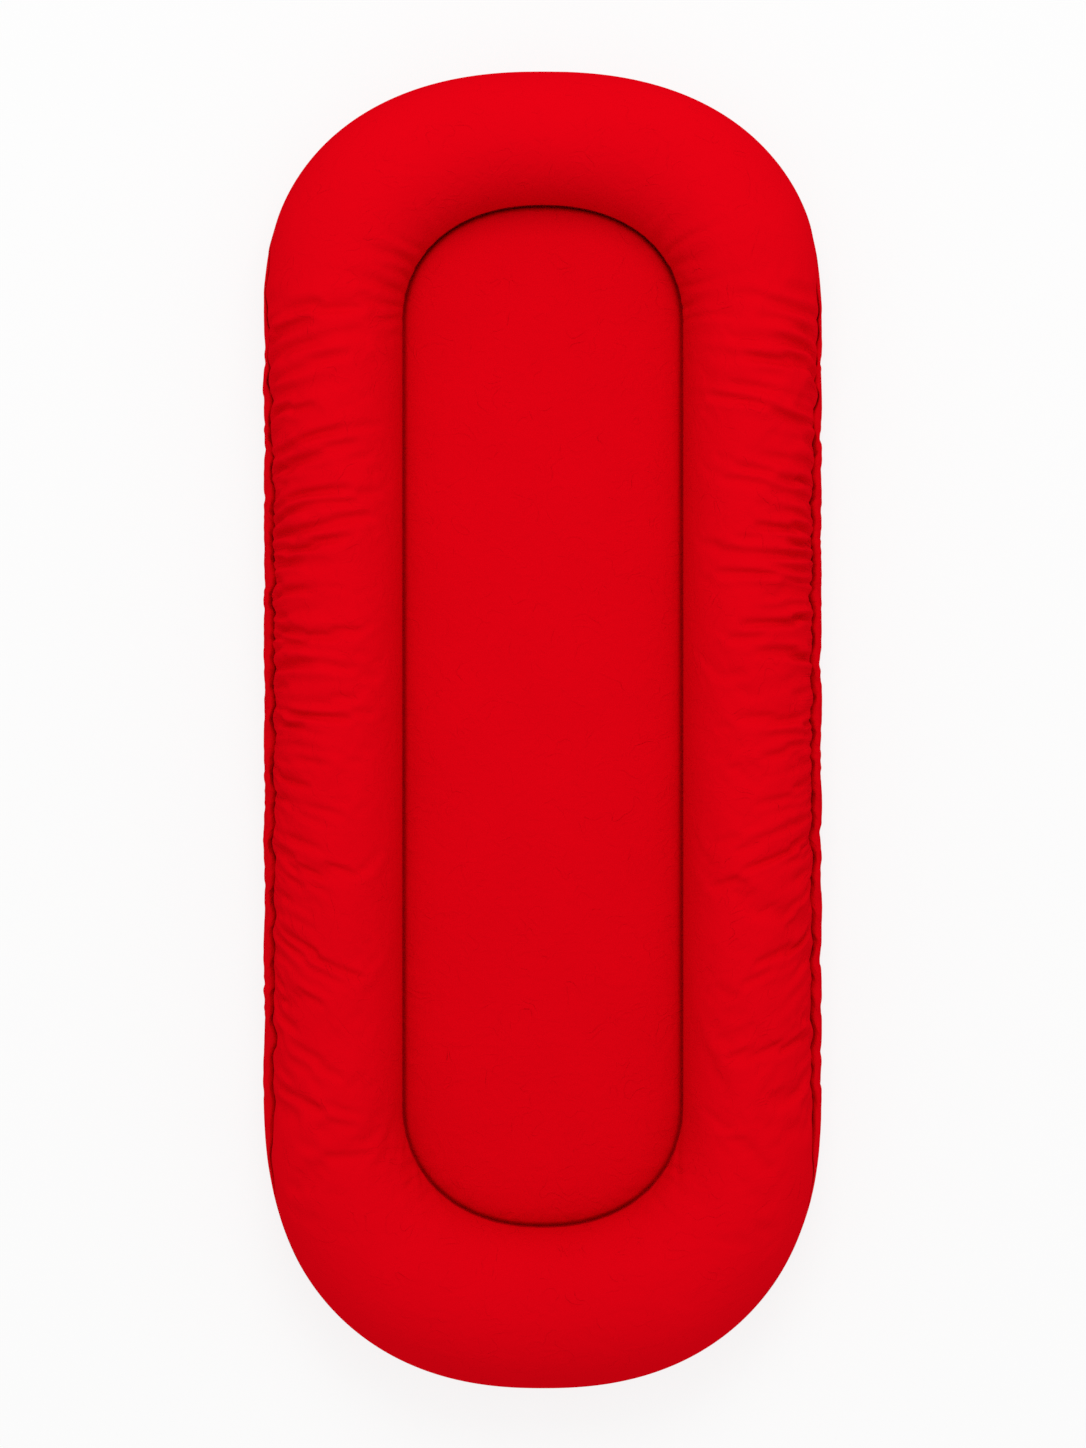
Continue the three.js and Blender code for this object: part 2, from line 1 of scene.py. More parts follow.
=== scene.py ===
import math

import bpy
import numpy as np
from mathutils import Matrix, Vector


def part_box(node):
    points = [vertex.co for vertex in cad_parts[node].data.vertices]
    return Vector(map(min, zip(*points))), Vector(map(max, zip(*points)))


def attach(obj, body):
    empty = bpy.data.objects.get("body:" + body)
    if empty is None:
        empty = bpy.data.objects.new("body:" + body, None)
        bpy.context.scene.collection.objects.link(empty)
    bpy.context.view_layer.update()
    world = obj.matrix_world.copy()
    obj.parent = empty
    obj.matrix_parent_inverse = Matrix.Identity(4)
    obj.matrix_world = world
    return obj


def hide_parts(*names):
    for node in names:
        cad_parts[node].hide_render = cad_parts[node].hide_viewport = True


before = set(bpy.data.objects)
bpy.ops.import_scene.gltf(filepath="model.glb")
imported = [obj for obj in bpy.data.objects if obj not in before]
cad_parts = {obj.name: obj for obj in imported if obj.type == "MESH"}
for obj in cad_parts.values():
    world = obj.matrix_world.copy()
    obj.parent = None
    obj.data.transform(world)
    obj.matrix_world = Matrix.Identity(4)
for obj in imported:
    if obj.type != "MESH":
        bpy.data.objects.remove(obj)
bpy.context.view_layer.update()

# Bolster fibre: lofted white polyester, blown in until the tube stands almost round. It lies
# loose in its casing, and the whole lounger takes its shape from it. The ring's plan is worked
# out here, because every other layer lies over this one.
lounger_half_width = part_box("side_band")[1][0]
lounger_half_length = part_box("side_band")[1][1]
pad_edge_gap = 0.0005
crease_half_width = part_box("pad_cover")[1][0] + pad_edge_gap
crease_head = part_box("pad_cover")[1][1] + pad_edge_gap
crease_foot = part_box("pad_cover")[0][1] - pad_edge_gap
outline_head_round = 0.190
outline_foot_round = 0.228
crease_head_round = 0.0945
crease_foot_round = 0.100
outline_power = 2.3
crease_power = 2.2
gather_fade_share = 0.25
gather_fade_power = 1.5

bolster_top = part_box("bolster_cover")[1][2]
waist = 0.058
lower_depth = 0.068
band_side_reach = 0.009
band_end_reach = 0.002

fibre_depth = 0.0066
fibre_room = 0.0015
floor_depth = 0.003
flat_power = 0.75
quarter_steps = 400
fibre_columns = 280
fibre_rows = 40
clump_height = 0.0012
clump_waves = ((97, 3), (41, -2))


def rounded_end(turn, half_width, depth, power):
    """A quarter of a rounded end, from its tip at turn 1 to the side at turn 0."""
    angle = turn * math.pi / 2
    across = half_width * np.abs(np.cos(angle)) ** (2 / power)
    along = depth * np.abs(np.sin(angle)) ** (2 / power)
    return np.stack([across, along], axis=-1)


def whole_ring(half):
    """The right half of a line and its mirror image, clockwise from the head tip and closed."""
    mirror = np.array([-1, 1])[: half.shape[-1]] if half.ndim > 1 else 1
    return np.concatenate([half, half[-2:0:-1] * mirror, half[:1]])


quarter = np.linspace(0, 1, quarter_steps)
end_gather = np.clip(1 - quarter / gather_fade_share, 0, 1) ** gather_fade_power
crease_ends = [
    rounded_end(quarter, crease_half_width, crease_head_round, crease_power)
    + [0, crease_head - crease_head_round],
    rounded_end(quarter, crease_half_width, crease_foot_round, crease_power) * [1, -1]
    + [0, crease_foot + crease_foot_round],
]
outer_ends = [
    rounded_end(quarter, lounger_half_width, outline_head_round, outline_power)
    + [0, lounger_half_length - outline_head_round],
    rounded_end(quarter, lounger_half_width, outline_foot_round, outline_power) * [1, -1]
    - [0, lounger_half_length - outline_foot_round],
]


def half_line(head, foot):
    """Head end from its tip, then the straight side, then the foot end to its tip."""
    share = quarter[1:-1].reshape((-1,) + (1,) * (head.ndim - 1))
    return np.concatenate([head[::-1], head[0] + (foot[0] - head[0]) * share, foot])


crease_line = whole_ring(half_line(*crease_ends))
outer_line = whole_ring(half_line(*outer_ends))
gather_line = whole_ring(half_line(end_gather, end_gather))
mean_line = (crease_line + outer_line) / 2
run = np.concatenate([[0], np.cumsum(np.linalg.norm(np.diff(mean_line, axis=0), axis=1))])
girth = run[-1]
half_count = len(run) // 2
side_middle = np.interp(0, -mean_line[:half_count, 1], run[:half_count])


def ring_at(s):
    """Crease point, way out, width and gather at a way s round the ring, in metres."""
    s = np.mod(s, girth)
    crease = np.stack([np.interp(s, run, crease_line[:, i]) for i in (0, 1)], axis=-1)
    outer = np.stack([np.interp(s, run, outer_line[:, i]) for i in (0, 1)], axis=-1)
    width = np.linalg.norm(outer - crease, axis=-1)
    return crease, (outer - crease) / width[..., None], width, np.interp(s, run, gather_line)


def from_side_middle(s):
    """Way from the middle of the nearer long side, which is more than zero towards the foot."""
    s = np.mod(s, girth)
    return np.where(s < girth / 2, s - side_middle, girth - side_middle - s)


def eased(share):
    share = np.clip(share, 0, 1)
    return share * share * (3 - 2 * share)


def lay(s, out, up):
    """Places points that lie out past the crease and up from the floor."""
    crease, way, _, _ = ring_at(s)
    return np.concatenate([crease + way * out[..., None], up[..., None]], axis=-1)


def tube_half(s):
    """Half the width of the round tube, without what the side band adds."""
    _, _, width, gather = ring_at(s)
    return (width - band_end_reach - (band_side_reach - band_end_reach) * gather) / 2


def tube(s, angle, depth):
    """The loose tube inside the cover, flat where it lies: angle 0 is its inner side."""
    half = tube_half(s)
    sine = np.sin(angle)
    upper = (bolster_top - waist - depth) * sine
    lower = -(waist - depth - floor_depth) * np.abs(sine) ** flat_power
    return lay(s, half - (half - depth) * np.cos(angle), waist + np.where(sine > 0, upper, lower))


def new_object(name, data):
    """Puts a mesh, a camera or a lamp into the scene."""
    made = bpy.data.objects.new(name, data)
    bpy.context.scene.collection.objects.link(made)
    return made


def cloth_grid(name, points, coordinates, ring=True, tube_shaped=False):
    """A smooth mesh over rows and columns of points. coordinates are each point's place on the
    flat cloth in metres, which the weave follows."""
    rows, columns = points.shape[:2]
    row = np.arange(rows if tube_shaped else rows - 1)[:, None]
    column = np.arange(columns if ring else columns - 1)[None]
    next_row = (row + 1) % rows
    next_column = (column + 1) % columns
    corners = [(row, column), (row, next_column), (next_row, next_column), (next_row, column)]
    faces = np.stack([r * columns + c for r, c in corners], axis=-1).reshape(-1, 4)
    mesh = bpy.data.meshes.new(name)
    mesh.from_pydata(points.reshape(-1, 3).tolist(), [], faces.tolist())
    across = np.stack([coordinates[r, c] for r, c in corners], axis=2).reshape(-1, 4, 2)
    if ring:
        wrapped = across[:, 1:3, 0] < across[:, :1, 0] - girth / 2
        across[:, 1:3, 0] += wrapped * girth
    layer = mesh.uv_layers.new(name="cloth")
    layer.data.foreach_set("uv", across.reshape(-1))
    mesh.polygons.foreach_set("use_smooth", [True] * len(mesh.polygons))
    return new_object(name, mesh)


def rise_along(points):
    """How far along the cloth each row of points lies from the first one."""
    steps = np.linalg.norm(np.diff(points, axis=0), axis=-1)
    return np.concatenate([np.zeros((1,) + steps.shape[1:]), np.cumsum(steps, axis=0)])


def flat_cloth(s, points):
    """Where points of the ring lie on the flat cloth: along the ring, and up their own rise."""
    return np.stack([np.broadcast_to(s, points.shape[:2]), rise_along(points)], axis=-1)


def thicken(piece, thickness):
    """Gives a sheet of cloth its thickness, inwards."""
    solid = piece.modifiers.new("thickness", "SOLIDIFY")
    solid.thickness = thickness
    solid.offset = -1
    return piece


def fill_inputs(tree, node, inputs):
    """Sets a shader node's inputs to values, or joins them to other nodes' outputs."""
    for name, given in inputs.items():
        if isinstance(given, bpy.types.NodeSocket):
            tree.links.new(given, node.inputs[name])
        else:
            node.inputs[name].default_value = given


def add_node(tree, kind, inputs, **settings):
    """Adds a shader node of a kind, with its settings and its inputs."""
    node = tree.nodes.new(kind)
    for name, setting in settings.items():
        setattr(node, name, setting)
    fill_inputs(tree, node, inputs)
    return node


def bump_of(tree, pattern, height, under=None):
    """Raises a pattern, height in metres, over the bumps that lie under it."""
    bump = add_node(tree, "ShaderNodeBump", {"Distance": height, "Height": pattern})
    if under is not None:
        fill_inputs(tree, bump, {"Normal": under})
    return bump.outputs["Normal"]


def noise_bump(tree, coordinates, scale, height, under=None, detail=2.0, distortion=0.0):
    """A bump of soft noise over the bumps that lie under it."""
    noise = add_node(tree, "ShaderNodeTexNoise", {
        "Vector": coordinates, "Scale": scale, "Detail": detail, "Distortion": distortion,
    })
    return bump_of(tree, noise.outputs["Fac"], height, under)


def colour_drift(tree, coordinates, colour, darker, scale):
    """Mixes a colour with a darker one of the same hue by slow noise. The node's inputs 6 and 7
    are its two colours, and its output 2 is their mix."""
    noise = add_node(tree, "ShaderNodeTexNoise", {"Vector": coordinates, "Scale": scale, "Detail": 3})
    dark = (*[c * darker for c in colour], 1)
    mix = add_node(
        tree, "ShaderNodeMix", {0: noise.outputs["Fac"], 6: dark, 7: (*colour, 1)}, data_type="RGBA"
    )
    return mix.outputs[2]


def shade(tree, inputs):
    """Fills the inputs of a finish's own shader."""
    fill_inputs(tree, tree.nodes["Principled BSDF"], inputs)


def new_finish(name, shading, on_cloth=True):
    """A finish, its node tree, and the coordinates that its detail follows: those of the flat
    cloth, or else the piece's own."""
    finish = bpy.data.materials.new(name)
    finish.use_nodes = True
    tree = finish.node_tree
    shade(tree, shading)
    if on_cloth:
        return finish, tree, add_node(tree, "ShaderNodeUVMap", {}, uv_map="cloth").outputs["UV"]
    return finish, tree, add_node(tree, "ShaderNodeTexCoord", {}).outputs["Object"]


fibre_finish, fibre_tree, fibre_cloth = new_finish(
    "polyester_fibre", {"Roughness": 0.95, "Sheen Weight": 0.3}
)
fibre_tufts = noise_bump(fibre_tree, fibre_cloth, scale=45, height=0.004, detail=6)
shade(fibre_tree, {
    "Base Color": colour_drift(fibre_tree, fibre_cloth, (0.90, 0.89, 0.86), darker=0.88, scale=60),
    "Normal": noise_bump(
        fibre_tree, fibre_cloth, scale=900, height=0.0006, under=fibre_tufts, detail=4, distortion=2
    ),
})

fibre_s, fibre_angle = np.broadcast_arrays(
    np.arange(fibre_columns) / fibre_columns * girth,
    (np.arange(fibre_rows) / fibre_rows * 2 * math.pi)[:, None],
)
fibre_clump = clump_height
for clumps_along, clumps_around in clump_waves:
    fibre_clump = fibre_clump * np.sin(fibre_s * clumps_along + clumps_around * fibre_angle)
fibre_points = tube(fibre_s, fibre_angle, fibre_depth + fibre_room + fibre_clump)
bolster_fibre = cloth_grid(
    "bolster_fibre", fibre_points, flat_cloth(fibre_s, fibre_points), tube_shaped=True
)
bolster_fibre.data.materials.append(fibre_finish)
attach(bolster_fibre, "lounger")
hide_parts("bolster_fill")


# Bolster casing: two panels of thin white cotton, sewn together along the crease and the side
# seam, which keep the fibre in when the red cover is taken off to be washed.
casing_depth = 0.0057
casing_thickness = 0.0005
casing_rows = 24
casing_pucker = 0.0004
casing_pucker_wave = 400
crease_height = 0.042
seam_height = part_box("side_band")[1][2]
crease_angle = -math.asin((waist - crease_height) / lower_depth)
seam_angle = math.pi + math.asin((waist - seam_height) / lower_depth)


def weave(tree, coordinates, thread, height, under=None):
    """A plain weave of threads that cross, thread being the room from one to the next."""
    for direction in ("X", "Y"):
        wave = add_node(tree, "ShaderNodeTexWave", {
            "Vector": coordinates, "Scale": math.pi / 10 / thread, "Distortion": 0.6, "Detail Scale": 2,
        }, bands_direction=direction)
        under = bump_of(tree, wave.outputs["Fac"], height, under)
    return under


cotton_finish, cotton_tree, cotton_cloth = new_finish("white_cotton", {"Roughness": 0.9})
cotton_creases = noise_bump(cotton_tree, cotton_cloth, scale=30, height=0.003, detail=3, distortion=1.5)
shade(cotton_tree, {
    "Base Color": colour_drift(cotton_tree, cotton_cloth, (0.86, 0.84, 0.80), darker=0.94, scale=25),
    "Normal": weave(cotton_tree, cotton_cloth, thread=0.0006, height=0.0001, under=cotton_creases),
})

for panel, node, first, last in (
    ("bolster_casing_upper", "bolster_casing_top", crease_angle, seam_angle),
    ("bolster_casing_lower", "bolster_casing_bottom", seam_angle - 2 * math.pi, crease_angle),
):
    panel_s = np.broadcast_to(fibre_s[0], (casing_rows, fibre_columns))
    panel_angle = np.linspace(first, last, casing_rows)[:, None] + 0 * panel_s
    pucker = casing_pucker * np.sin(panel_s * casing_pucker_wave + 2 * panel_angle)
    panel_points = tube(panel_s, panel_angle, casing_depth + pucker)
    casing = cloth_grid(panel, panel_points, flat_cloth(panel_s, panel_points))
    thicken(casing, casing_thickness)
    casing.data.materials.append(cotton_finish)
    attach(casing, "lounger")
    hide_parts(node)


# Bolster cover and side band: fine red cloth, sewn together at the side seam. Both are cut
# longer than the seam, and the elastic in it draws them up, so folds fan out from the seam's
# notches. The folds are simulated as cloth, and the finest crinkles are in the finish.
seam_place_share = 1.10
head_place_share = 0.5
head_seam_start = -0.34
head_seam_run = 0.18
seam_overhang = 0.0003
seam_turn_share = 0.10
seam_drop = 0.0030
seam_drop_share = 0.05
crease_tuck_share = 0.022
crease_tuck_depth = 0.0027
band_bulge_height = 0.025
band_foot_turn = 0.022
band_inner_share = 0.2
band_upper_share = 0.5
band_crest_share = 0.42
band_lift_share = 0.85
band_full_power = 0.7
band_wall_power = 2
scallop_out = 0.0014
scallop_up = 0.0012
scallop_reach_share = 0.16
scallop_lengths = (0.062, 0.047, 0.033, 0.024)
seam_line_seed = 11


def seam_waves(s, seed):
    """A line that wavers like a gathered seam, about one high and low, the same all round."""
    draw = np.random.default_rng(seed)
    total = 0
    for length in scallop_lengths:
        count = round(girth / length)
        total = total + np.sin(2 * math.pi * (count * s / girth + draw.random()))
    return total / math.sqrt(len(scallop_lengths))


def seam_shift(s, share):
    """How far out and up the seam's wavering moves a point, given its nearness to the seam."""
    near = eased(share) * ring_at(s)[3]
    out = scallop_out * seam_waves(s, seam_line_seed) * near
    up = scallop_up * seam_waves(s, seam_line_seed + 1) * near
    return out, up


def band_reach(s):
    """How far the side band stands out past the round tube."""
    return band_end_reach + (band_side_reach - band_end_reach) * ring_at(s)[3]


def seam_out(s):
    """Way out from the crease to the side seam, which lies further out near the head end."""
    from_head = eased((from_side_middle(s) - head_seam_start) / head_seam_run)
    share = seam_place_share * (head_place_share + (1 - head_place_share) * from_head)
    return ring_at(s)[2] - share * band_reach(s)


def cover_at(s, turn):
    """The upper cover: turn runs from 0 at the crease to 1 at the side seam, which it overhangs."""
    half = (seam_out(s) + seam_overhang) / 2
    angle = crease_angle + (seam_angle - crease_angle) * turn
    sine = np.sin(angle)
    rise = np.where(sine > 0, bolster_top - waist, lower_depth)
    shift_out, shift_up = seam_shift(s, (turn - 1) / scallop_reach_share + 1)
    to_seam = seam_out(s) - half * (1 - math.cos(seam_angle))
    out = half * (1 - np.cos(angle)) + to_seam * eased((turn - 1) / seam_turn_share + 1) + shift_out
    turned_in = crease_tuck_depth * eased(1 - turn / crease_tuck_share)
    turned_in = turned_in + seam_drop * eased((turn - 1) / seam_drop_share + 1)
    return lay(s, out, waist + rise * sine + shift_up - turned_in)


def quarter_turn(turn, start, end):
    """How far turn has come from start to end, as an angle of up to a quarter turn."""
    return np.clip((turn - start) / (end - start), 0, 1) * math.pi / 2


def band_at(s, turn):
    """The side band: turn runs from 0 at the side seam, over its crest, to 1 at the base."""
    width = ring_at(s)[2]
    seam = seam_out(s)
    crest_out = seam + band_crest_share * (width - seam)
    crest_up = seam_height + band_lift_share * band_reach(s)
    inner = quarter_turn(turn, 0, band_inner_share)
    upper = quarter_turn(turn, band_inner_share, band_upper_share)
    lower = quarter_turn(turn, band_upper_share, 1)
    shift_out, shift_up = seam_shift(s, 1 - turn / band_upper_share)
    stretches = [turn < band_inner_share, turn < band_upper_share]
    out = np.select(
        stretches,
        [
            seam + (crest_out - seam) * (1 - np.abs(np.cos(inner)) ** band_wall_power),
            crest_out + (width - crest_out) * np.sin(upper) ** band_full_power,
        ],
        width - band_foot_turn * (1 - np.cos(lower)),
    )
    up = np.select(
        stretches,
        [
            seam_height - seam_drop
            + (crest_up - seam_height + seam_drop) * np.sin(inner) ** band_full_power,
            band_bulge_height
            + (crest_up - band_bulge_height) * np.abs(np.cos(upper)) ** band_full_power,
        ],
        band_bulge_height * (1 - np.sin(lower)),
    )
    return lay(s, out + shift_out, up + shift_up)


# The elastic also pulls the seam along towards the middle of each side, more at the foot half,
# so the folds lean away from the middle: seen from above they fan out.
lean_turn = -0.05
head_lean = 0.040
head_lean_at = 0.24
foot_lean = 0.070
foot_lean_at = 0.30
lean_end = 0.56
lean_rise_power = 1.5
lean_start_share = 0.12
lean_power = 1.4
band_lean_loss = 0.5


def pull_at(s):
    """How far the seam is pulled along at a way s, more than zero where s grows from it."""
    way = from_side_middle(s) - lean_turn
    at = np.where(way > 0, foot_lean_at, head_lean_at)
    most = np.where(way > 0, foot_lean, head_lean)
    far = np.abs(way)
    rising = np.sin(quarter_turn(far, 0, at)) ** lean_rise_power
    falling = (1 + np.cos(np.clip((far - at) / (lean_end - at), 0, 1) * math.pi)) / 2
    pull = most * np.sign(way) * np.where(far < at, rising, falling)
    return pull * np.where(s < girth / 2, 1, -1)


def both_panels(s, turn, band_turn):
    """Cover and band as one grid of points, leaning as the seam is pulled along."""
    leaning = np.clip((turn - lean_start_share) / (1 - lean_start_share), 0, 1) ** lean_power
    return np.concatenate([
        cover_at(s - pull_at(s) * leaning, turn + 0 * s),
        band_at(s - pull_at(s) * (1 - band_lean_loss * band_turn), band_turn + 0 * s),
    ])


# Where the folds are: they start in the notches of the side seam, between a head corner and a
# foot corner, and run in over the bolster. More folds fan across it from the crease's corners.
fold_seed = 4
first_notch = -0.365
last_notch = 0.345
first_gap = (0, 0.01)
notch_gap = (0.010, 0.021)
fold_reach_share = (0.28, 0.95)
foot_reach_loss = 0.55
fold_depth = (0.0032, 0.0074)
fold_width = (0.0024, 0.0042)
fold_puff = 0.6
puff_spread = 2.1
fold_bend = 0.0025
fold_bends = 7
fold_bend_start = 90
fold_end_power = 1.5
foot_depth_loss = 0.25
crowd_way = -0.15
crowd_spread = 0.12
crowd_gain = 0.5
fold_seam_share = 0.12
fold_seam_reach = 0.27
ripple_gap = (0.008, 0.015)
ripple_reach_share = (0.25, 0.80)
ripple_depth = (0.0008, 0.0020)
ripple_width = 0.0030
seam_width_share = 1.1
inner_width_share = 1.8
band_fade = 0.6
corner_folds = ((-0.385, 0.060, 0.0055), (0.400, 0.050, 0.0018))
corner_gap = (0.015, 0.024)
corner_fan = 1.6
corner_depth_share = (0.5, 1)
corner_reach_share = (0.34, 0.62)
corner_bend = 0.003
corner_bends = 5
corner_bend_start = 70
corner_fade = 1.5
deepest = 0.0041


def place_on(side, way):
    """Way round the ring of a point on the right side (1) or the left one (-1)."""
    return np.mod(side_middle + way if side > 0 else girth - side_middle - way, girth)


def plan_folds():
    """Each fold's place, reach, depth and width, first those of the seam, then the corners'."""
    draw = np.random.default_rng(fold_seed)
    from_seam, from_crease = [], []
    for side in (1, -1):
        way = first_notch + draw.uniform(*first_gap)
        while way < last_notch:
            to_foot = (way - first_notch) / (last_notch - first_notch)
            crowd = 1 + crowd_gain * math.exp(-((way - crowd_way) / crowd_spread) ** 2)
            reach = draw.uniform(*fold_reach_share) * (1 - foot_reach_loss * to_foot)
            depth = draw.uniform(*fold_depth) * (1 - foot_depth_loss * to_foot) * crowd
            from_seam.append((place_on(side, way), reach, depth, draw.uniform(*fold_width)))
            way += draw.uniform(*notch_gap) / crowd
        way = first_notch
        while way < last_notch:
            reach, depth = draw.uniform(*ripple_reach_share), draw.uniform(*ripple_depth)
            from_seam.append((place_on(side, way), reach, depth, ripple_width))
            way += draw.uniform(*ripple_gap)
        for middle, spread, most in corner_folds:
            way = middle - corner_fan * spread
            while way < middle + corner_fan * spread:
                crowd = math.exp(-((way - middle) / spread) ** 2)
                depth = most * crowd * draw.uniform(*corner_depth_share)
                reach = draw.uniform(*corner_reach_share)
                from_crease.append((place_on(side, way), reach, depth, draw.uniform(*fold_width)))
                way += draw.uniform(*corner_gap)
    return from_seam, from_crease


seam_folds, crease_folds = plan_folds()


def beside(s, place):
    """How far round the ring s lies from a place, the shorter way."""
    return np.mod(s - place + girth / 2, girth) - girth / 2


def valley(x, width):
    """A fold's section: a soft valley, one deep, with a low puff on either side."""
    return fold_puff * np.exp(-(x / (puff_spread * width)) ** 2) - np.exp(-(x / width) ** 2)


def fold_relief(s, turn, band_turn):
    """Height of all planned folds over the smooth panels, in rows of cover and band."""
    cover = np.zeros(np.broadcast_shapes(s.shape, turn.shape))
    band = np.zeros(np.broadcast_shapes(s.shape, band_turn.shape))
    for place, reach, depth, width in seam_folds:
        inwards = np.clip((1 - turn) / reach, 0, 1)
        bend_start = place * fold_bend_start
        bend = np.sin(fold_bends * inwards + bend_start) - math.sin(bend_start)
        x = beside(s, place) + fold_bend * bend
        width_here = width * (seam_width_share + (inner_width_share - seam_width_share) * inwards)
        near_seam = 1 - (1 - fold_seam_share) * eased(1 - (1 - turn) / fold_seam_reach)
        cover += depth * near_seam * valley(x, width_here) * (1 - inwards ** 2) ** fold_end_power
        fading = fold_seam_share * (1 - band_fade * eased(2 * band_turn)) * (1 - band_turn ** 2)
        band += depth * valley(beside(s, place), seam_width_share * width) * fading
    for place, reach, depth, width in crease_folds:
        outwards = np.clip(turn / reach, 0, 1)
        bend = np.sin(corner_bends * outwards + place * corner_bend_start)
        x = beside(s, place) + corner_bend * bend
        rising = depth * valley(x, width * (1 + outwards)) * eased(2 * outwards)
        cover += rising * eased(corner_fade - corner_fade * outwards)
    return np.concatenate([cover, band])


def way_out(points):
    """Unit vectors out of the tube at every point of the panels."""
    out = points - points.mean(axis=0, keepdims=True)
    return out / np.linalg.norm(out, axis=-1, keepdims=True)


# The simulation: the cloth starts with the planned folds pressed in lightly, is held along the
# crease, the side seam and the base, grows to its cut length and is blown up by the fibre.
cover_columns = 380
cover_rows = 34
band_rows = 11
settle_frames = 14
cut_longer = 0.08
longer_side = 0.28
longer_side_run = 0.12
longer_from_turn = 0.2
longer_turn_run = 0.6
end_ease = 0.15
band_ease_loss = 0.5
cloth_pressure = 30
start_share = 0.6
fold_limit = 0.0040
fold_share = 0.9
end_calm_share = 0.8
end_calm_start = 0.40
end_calm_run = 0.08
band_fold_share = 0.4
mean_wave = 0.12

column_s = np.arange(cover_columns) / cover_columns * girth
cover_turn = np.linspace(0, 1, cover_rows)[:, None]
band_turn = np.linspace(0, 1, band_rows + 1)[1:, None]


def ease_at(s, turn, band_turn):
    """How much longer than its place each point's cloth is cut, as a share of the most."""
    far = np.abs(from_side_middle(s))
    side = 1 - (1 - end_ease) * eased((far - longer_side) / longer_side_run)
    cover = side * eased((turn - longer_from_turn) / longer_turn_run)
    return np.concatenate([cover, side * (1 - band_ease_loss * band_turn)])


def settle(start, s, turn, band_turn):
    """Simulates the cut cloth until it rests, and gives where its points end."""
    rows, columns = start.shape[:2]
    cloth = cloth_grid("cut_cloth", start, np.zeros((rows, columns, 2)))
    grid = np.arange(rows * columns).reshape(rows, columns)
    sewn = cloth.vertex_groups.new(name="sewn")
    for row in (0, len(turn) - 1, rows - 1):
        sewn.add(grid[row].tolist(), 1, "REPLACE")
    true_cut = cloth.vertex_groups.new(name="true_cut")
    for index, share in enumerate(ease_at(s, turn, band_turn).reshape(-1).tolist()):
        true_cut.add([index], 1 - share, "REPLACE")
    modifier = cloth.modifiers.new("cloth", "CLOTH")
    settings = modifier.settings
    settings.quality = 5
    settings.mass = 0.1
    settings.tension_stiffness = 40
    settings.compression_stiffness = 40
    settings.shear_stiffness = 8
    settings.bending_stiffness = 0.5
    settings.vertex_group_mass = "sewn"
    settings.vertex_group_shrink = "true_cut"
    settings.shrink_max = 0
    settings.shrink_min = -cut_longer
    settings.use_pressure = True
    settings.uniform_pressure_force = cloth_pressure
    settings.effector_weights.gravity = 0
    modifier.collision_settings.use_collision = False
    modifier.point_cache.frame_end = settle_frames
    for at_frame in range(1, settle_frames + 1):
        bpy.context.scene.frame_set(at_frame)
    settled = cloth.evaluated_get(bpy.context.evaluated_depsgraph_get()).to_mesh()
    ended = np.empty(rows * columns * 3)
    settled.vertices.foreach_get("co", ended)
    bpy.context.scene.frame_set(1)
    bpy.data.objects.remove(cloth)
    return ended.reshape(rows, columns, 3)


def keep_folds(moved):
    """Takes the slow swelling out of the simulated movement and leaves the folds."""
    spectrum = np.fft.rfft(moved, axis=1)
    spectrum[:, np.arange(spectrum.shape[1]) < girth / mean_wave] = 0
    folds = np.fft.irfft(spectrum, moved.shape[1], axis=1)
    length = np.linalg.norm(folds, axis=-1, keepdims=True)
    return folds * np.minimum(1, fold_limit / np.maximum(length, 1e-9))


def finer(field, times, ring):
    """Fills in times as many rows, or columns of a ring, with smooth curves between them."""
    count = len(field)
    if ring:
        place = np.arange(count * times) / times
    else:
        place = np.linspace(0, count - 1, (count - 1) * times + 1)
    base = np.floor(place).astype(int)
    t = (place - base).reshape((-1,) + (1,) * (field.ndim - 1))
    mode = "wrap" if ring else "clip"
    before, here, after, beyond = [np.take(field, base + i, axis=0, mode=mode) for i in (-1, 0, 1, 2)]
    return here + 0.5 * t * (
        after - before + t * (
            2 * before - 5 * here + 4 * after - beyond + t * (3 * (here - after) + beyond - before)
        )
    )


column_times = 4
row_times = 2
fine_s = np.arange(cover_columns * column_times) / (cover_columns * column_times) * girth
fine_turn = np.linspace(0, 1, (cover_rows - 1) * row_times + 1)[:, None]
fine_band_turn = np.linspace(0, 1, band_rows * row_times + 1)[1:, None]
smooth_panels = both_panels(fine_s, fine_turn, fine_band_turn)
seam_row = (cover_rows - 1) * row_times

panel_way_out = way_out(smooth_panels)
fine_folds = panel_way_out * fold_relief(fine_s, fine_turn, fine_band_turn)[..., None]
rest_points = both_panels(column_s, cover_turn, band_turn)
relief = fold_relief(column_s, cover_turn, band_turn)
start_points = rest_points + way_out(rest_points) * (start_share * relief)[..., None]
folds = keep_folds(settle(start_points, column_s, cover_turn, band_turn) - rest_points)
far = np.abs(from_side_middle(column_s))
end_calm = 1 - end_calm_share * eased((far - end_calm_start) / end_calm_run)
folds *= fold_share * end_calm[:, None]
clear_of_seam = eased((1 - cover_turn) / fold_seam_reach)[..., None]
folds[:cover_rows] *= fold_seam_share + (1 - fold_seam_share) * clear_of_seam
folds[cover_rows:] *= band_fold_share
finer_folds = finer(folds, row_times, ring=False).swapaxes(0, 1)
fine_folds += finer(finer_folds, column_times, ring=True).swapaxes(0, 1)
sunk = np.minimum(np.sum(fine_folds * panel_way_out, axis=-1, keepdims=True), 0)
fine_folds += panel_way_out * (deepest * np.tanh(sunk / deepest) - sunk)

panels = smooth_panels + fine_folds
panel_cloth = flat_cloth(fine_s, smooth_panels)

